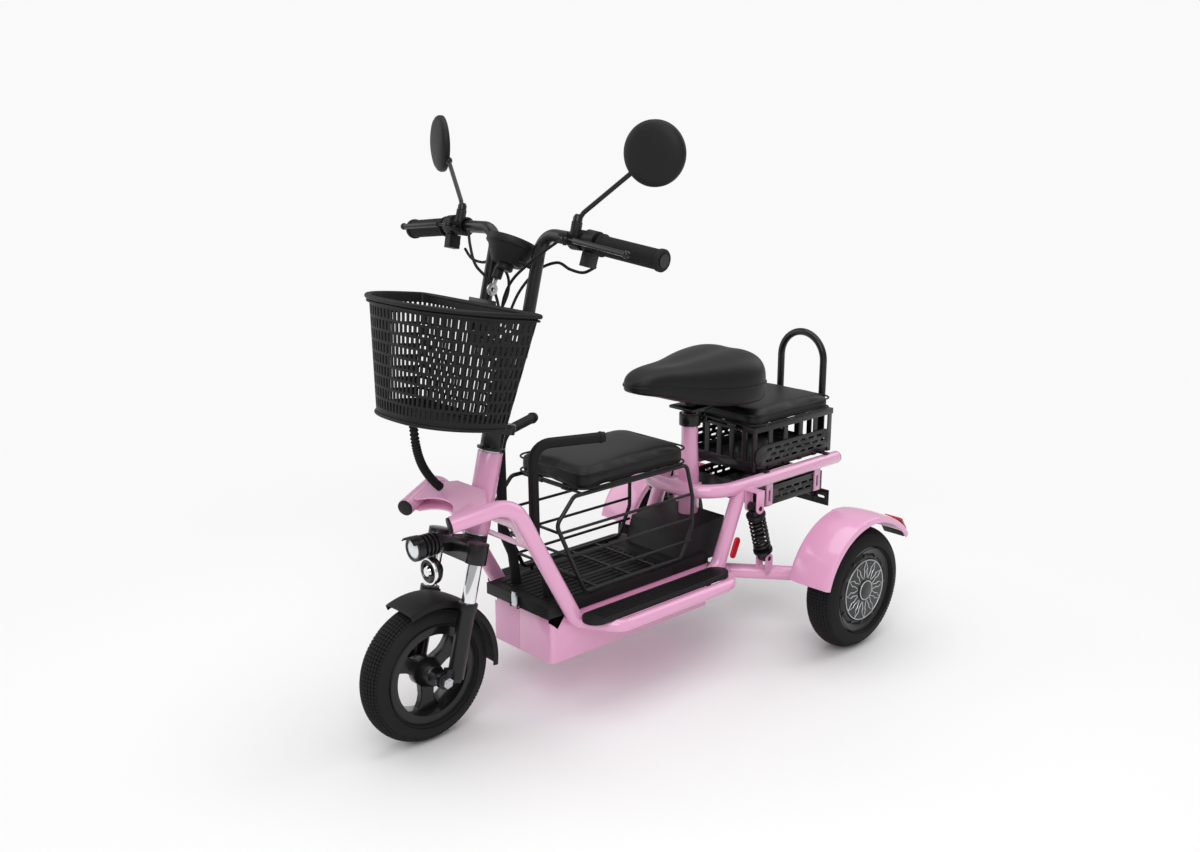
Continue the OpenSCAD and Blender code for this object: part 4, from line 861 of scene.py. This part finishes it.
# ---------- handlebar fittings ----------
def along_bar(x, s):
    """Places a turned piece on the bar, its +Z outwards, x from the middle."""
    a, b = Vector((165, -22, 528)), Vector((335, -2, 513))
    p = a + (b - a) * ((x - 165) / 170)
    way = (b - a).normalized()
    p.x *= s
    way.x *= s
    return STEER @ Matrix.Translation(p * MM) @ way.to_track_quat("Z", "Y").to_matrix().to_4x4()


def grip():
    profile = [(11.2, 0), (18.6, 0), (19, 1), (19, 3), (17, 4.5), (15.6, 6)]
    z = 8
    while z < 116:
        profile += [(15.6, z), (16.4, z + 0.7), (16.4, z + 2.6), (15.6, z + 3.3)]
        z += 4.4
    profile += [(15.6, 119), (18.2, 120), (18.4, 122), (18.4, 126), (17, 128), (0, 128), (0, 126.5),
                (11.2, 126.5), (11.2, 0)]
    return turned(profile, steps=48)


def mirror_heads():
    for s, side in ((1, "left"), (-1, "right")):
        lean = Matrix.Rotation(math.radians(14), 4, "X")
        turn = Matrix.Rotation(math.radians(22 * s), 4, "Z")
        at = STEER @ Matrix.Translation(Vector((s * 281, -12, 676)) * MM) @ lean @ turn @ Matrix.Rotation(
            math.radians(90), 4, "X")
        back = turned([(49.6, -5), (50.5, -6), (51.5, -6), (52, -5), (52, 1), (50, 4.5), (45, 8), (36, 10.6),
                       (20, 11.8), (0, 12), (0, 9), (30, 8.5), (44, 4), (49.6, -1), (49.6, -5)], steps=72)
        stands_for(placed(back, at), "Mirror Back " + side, "black_plastic", "mirror_" + side,
                   "mirror_head_" + side)
        face = turned([(49.6, -4.2), (40, -4.6), (20, -5.0), (0, -5.1), (0, -3), (49.6, -3), (49.6, -4.2)],
                      steps=72)
        done(placed(face, at), "Mirror Face " + side, "mirror_face", "mirror_" + side)


def instrument():
    at = STEER @ Matrix.Translation(Vector((0, -38, 470)) * MM) @ Matrix.Rotation(math.radians(-12), 4, "X")
    cup = turned([(0, -10), (13, -10), (15, -8), (15, 0), (26, 1), (40, 26), (42, 30), (45, 30.5), (46, 32),
                  (46, 42), (45, 44), (42.5, 44), (42, 42), (42, 39), (0, 39)], steps=72)
    lock = turned([(0, -26), (8, -26), (9, -25), (9, -8), (0, -8)], steps=32)
    lock.data.transform(Matrix.Translation((-0.012, 0, 0)))
    struts = []
    for s in SIDES:
        struts.append(placed(rod([(s * 20, -38, 482), (s * 49, -19.5, 472)], 4), STEER))
    stands_for(joined([placed(cup, at), placed(lock, at)] + struts), "Instrument Cup", "black_plastic",
               "steering", "instrument")
    face = turned([(0, 39.6), (41.5, 39.6), (41.5, 39.1), (0, 39.1)], at, steps=64)
    done(face, "Dial Face", "dial", "steering")
    marks = []
    for k in range(25):
        a = math.radians(-120 + 10 * k)
        long = 7 if k % 4 == 0 else 3.5
        tick = block((-0.5, 38 - long, 39.6), (0.5, 38, 40.0))
        marks.append(placed(tick, at @ Matrix.Rotation(-a, 4, "Z")))
    marks.append(placed(block((-0.8, -6, 40.1), (0.8, 27, 40.7)), at @ Matrix.Rotation(math.radians(95), 4, "Z")))
    marks.append(placed(disc((0, 0, 40.4), 3.6, 1.6, sides=24), at))
    done(joined(marks), "Dial Marks", "black_plastic", "steering")


def headlight():
    at = Matrix.Translation(Vector((0, -486, 356)) * MM) @ Matrix.Rotation(math.radians(-90), 4, "X")
    body = turned([(17, 0.5), (19.5, 0), (22, 1), (22.5, 6), (22, 14), (17.5, 17), (17, 19), (20.5, 20),
                   (20.5, 23), (17, 23.6), (17, 27.4), (20.5, 28), (20.5, 31), (17, 31.6), (17, 35.4),
                   (20.5, 36), (20.5, 39), (17, 39.6), (17, 43.4), (20, 44), (20, 47), (17, 47.6), (17, 55),
                   (15, 56.5), (0, 56.5), (0, 8), (15, 6.5), (17, 0.5)], at, steps=64)
    foot = placed(rounded(block((-6, -76, -34.5), (6, -54, -18.5)), 1), STEER)
    brow = turned([(21.5, 2), (22.8, 2), (22.8, -9), (21.5, -9), (21.5, 2)], at, steps=24, sweep=110, start=-145)
    stands_for(joined([body, foot, brow]), "Headlight", "black_alloy", "steering", "headlight")
    lens = turned([(16.9, 2.5), (12, 0.8), (6, 0.2), (0, 0), (0, 3), (16.9, 4), (16.9, 2.5)], at, steps=48)
    done(lens, "Headlight Lens", "clear_lens", "steering")
    cup = turned([(16, 4.6), (9, 5), (5, 7.5), (0, 7.5), (0, 4.4), (16, 4.2), (16, 4.6)], at, steps=48)
    done(cup, "Headlight Reflector", "chrome", "steering")


def horn():
    at = Matrix.Translation(Vector((0, -439, 308)) * MM) @ Matrix.Rotation(math.radians(90), 4, "X")
    shell = turned([(0, -8), (11, -8), (12, -7), (12, 0), (22, 1), (24, 4), (24.5, 12), (23.5, 15), (16, 16),
                    (13, 13), (0, 12.5)], at, steps=56)
    stands_for(shell, "Horn", "black_paint", "steering", "horn")
    ring = turned([(24, 12.5), (25, 13), (25, 15.5), (24, 17), (21, 17), (20.5, 15), (24, 12.5)], at, steps=56)
    centre = turned([(0, 15), (9.5, 15), (10, 17), (8, 20), (0, 21.5)], at, steps=40)
    done(joined([ring, centre]), "Horn Ring", "chrome", "steering")


stands_for(placed(grip(), along_bar(207, 1)), "Grip Left", "rubber", "steering", "grip_left")
stands_for(placed(grip(), along_bar(207, -1)), "Throttle Grip", "rubber", "throttle", "throttle_grip")
mirror_heads()
instrument()
headlight()
horn()


# ---------- everything that keeps its CAD shape ----------
for node in SLOT:
    if node not in REPLACED:
        refined(node, EASE.get(node, 0.5))


# ---------- floor, light and camera ----------
def studio():
    bpy.ops.object.select_all(action="DESELECT")
    bpy.ops.mesh.primitive_plane_add(size=60, location=(0, 0, 0))
    floor = bpy.context.object
    floor.name = "Floor"
    paper = bpy.data.materials.new("Pale Floor")
    paper.use_nodes = True
    skin = paper.node_tree.nodes["Principled BSDF"]
    skin.inputs["Base Color"].default_value = (0.93, 0.93, 0.93, 1)
    skin.inputs["Roughness"].default_value = 0.55
    backdrop = paper.node_tree
    place, far = backdrop.nodes.new("ShaderNodeTexCoord"), backdrop.nodes.new("ShaderNodeVectorMath")
    far.operation = "LENGTH"
    fade, glow = backdrop.nodes.new("ShaderNodeMapRange"), backdrop.nodes.new("ShaderNodeEmission")
    fade.interpolation_type = "SMOOTHSTEP"
    fade.inputs["From Min"].default_value = 0.7
    fade.inputs["From Max"].default_value = 1.7
    glow.inputs["Color"].default_value = (1, 1, 1, 1)
    glow.inputs["Strength"].default_value = 0.95
    mixed = backdrop.nodes.new("ShaderNodeMixShader")
    for a, b in ((place.outputs["Object"], far.inputs[0]), (far.outputs["Value"], fade.inputs["Value"]),
                 (fade.outputs["Result"], mixed.inputs[0]), (skin.outputs[0], mixed.inputs[1]),
                 (glow.outputs[0], mixed.inputs[2]), (mixed.outputs[0], backdrop.nodes["Material Output"].inputs[0])):
        backdrop.links.new(a, b)
    floor.data.materials.append(paper)
    world = bpy.data.worlds.new("Studio")
    world.use_nodes = True
    tree = world.node_tree
    seen = tree.nodes["Background"]
    seen.inputs["Color"].default_value = (1, 1, 1, 1)
    seen.inputs["Strength"].default_value = 0.95
    cast = tree.nodes.new("ShaderNodeBackground")
    cast.inputs["Color"].default_value = (1, 1, 1, 1)
    cast.inputs["Strength"].default_value = 0.45
    ray, both = tree.nodes.new("ShaderNodeLightPath"), tree.nodes.new("ShaderNodeMixShader")
    for a, b in ((ray.outputs["Is Camera Ray"], both.inputs[0]), (cast.outputs[0], both.inputs[1]),
                 (seen.outputs[0], both.inputs[2]), (both.outputs[0], tree.nodes["World Output"].inputs[0])):
        tree.links.new(a, b)
    bpy.context.scene.world = world
    for name, place, size, power in (("Key", (2.2, -2.4, 3.0), 2.4, 62), ("Fill", (-2.8, -1.6, 2.0), 2.2, 22),
                                     ("Back", (0.6, 3.0, 2.6), 2.6, 30), ("Top", (0, 0, 3.4), 3.0, 46)):
        light = bpy.data.lights.new(name, "AREA")
        light.size = size
        light.energy = power
        lamp = bpy.data.objects.new(name, light)
        lamp.location = place
        lamp.rotation_euler = (Vector((0, 0, 0.4)) - Vector(place)).to_track_quat("-Z", "Y").to_euler()
        bpy.context.scene.collection.objects.link(lamp)
    camera = bpy.data.cameras.new("Camera")
    camera.lens = 38.04
    camera.sensor_width = 36
    camera.sensor_fit = "HORIZONTAL"
    viewer = bpy.data.objects.new("Camera", camera)
    viewer.location = (1.6988, -1.639, 1.1013)
    viewer.rotation_euler = Vector((-0.7067, 0.661, -0.2523)).to_track_quat("-Z", "Y").to_euler()
    bpy.context.scene.collection.objects.link(viewer)
    bpy.context.scene.camera = viewer
    bpy.context.scene.view_settings.view_transform = "Standard"


studio()
bpy.ops.object.select_all(action="DESELECT")
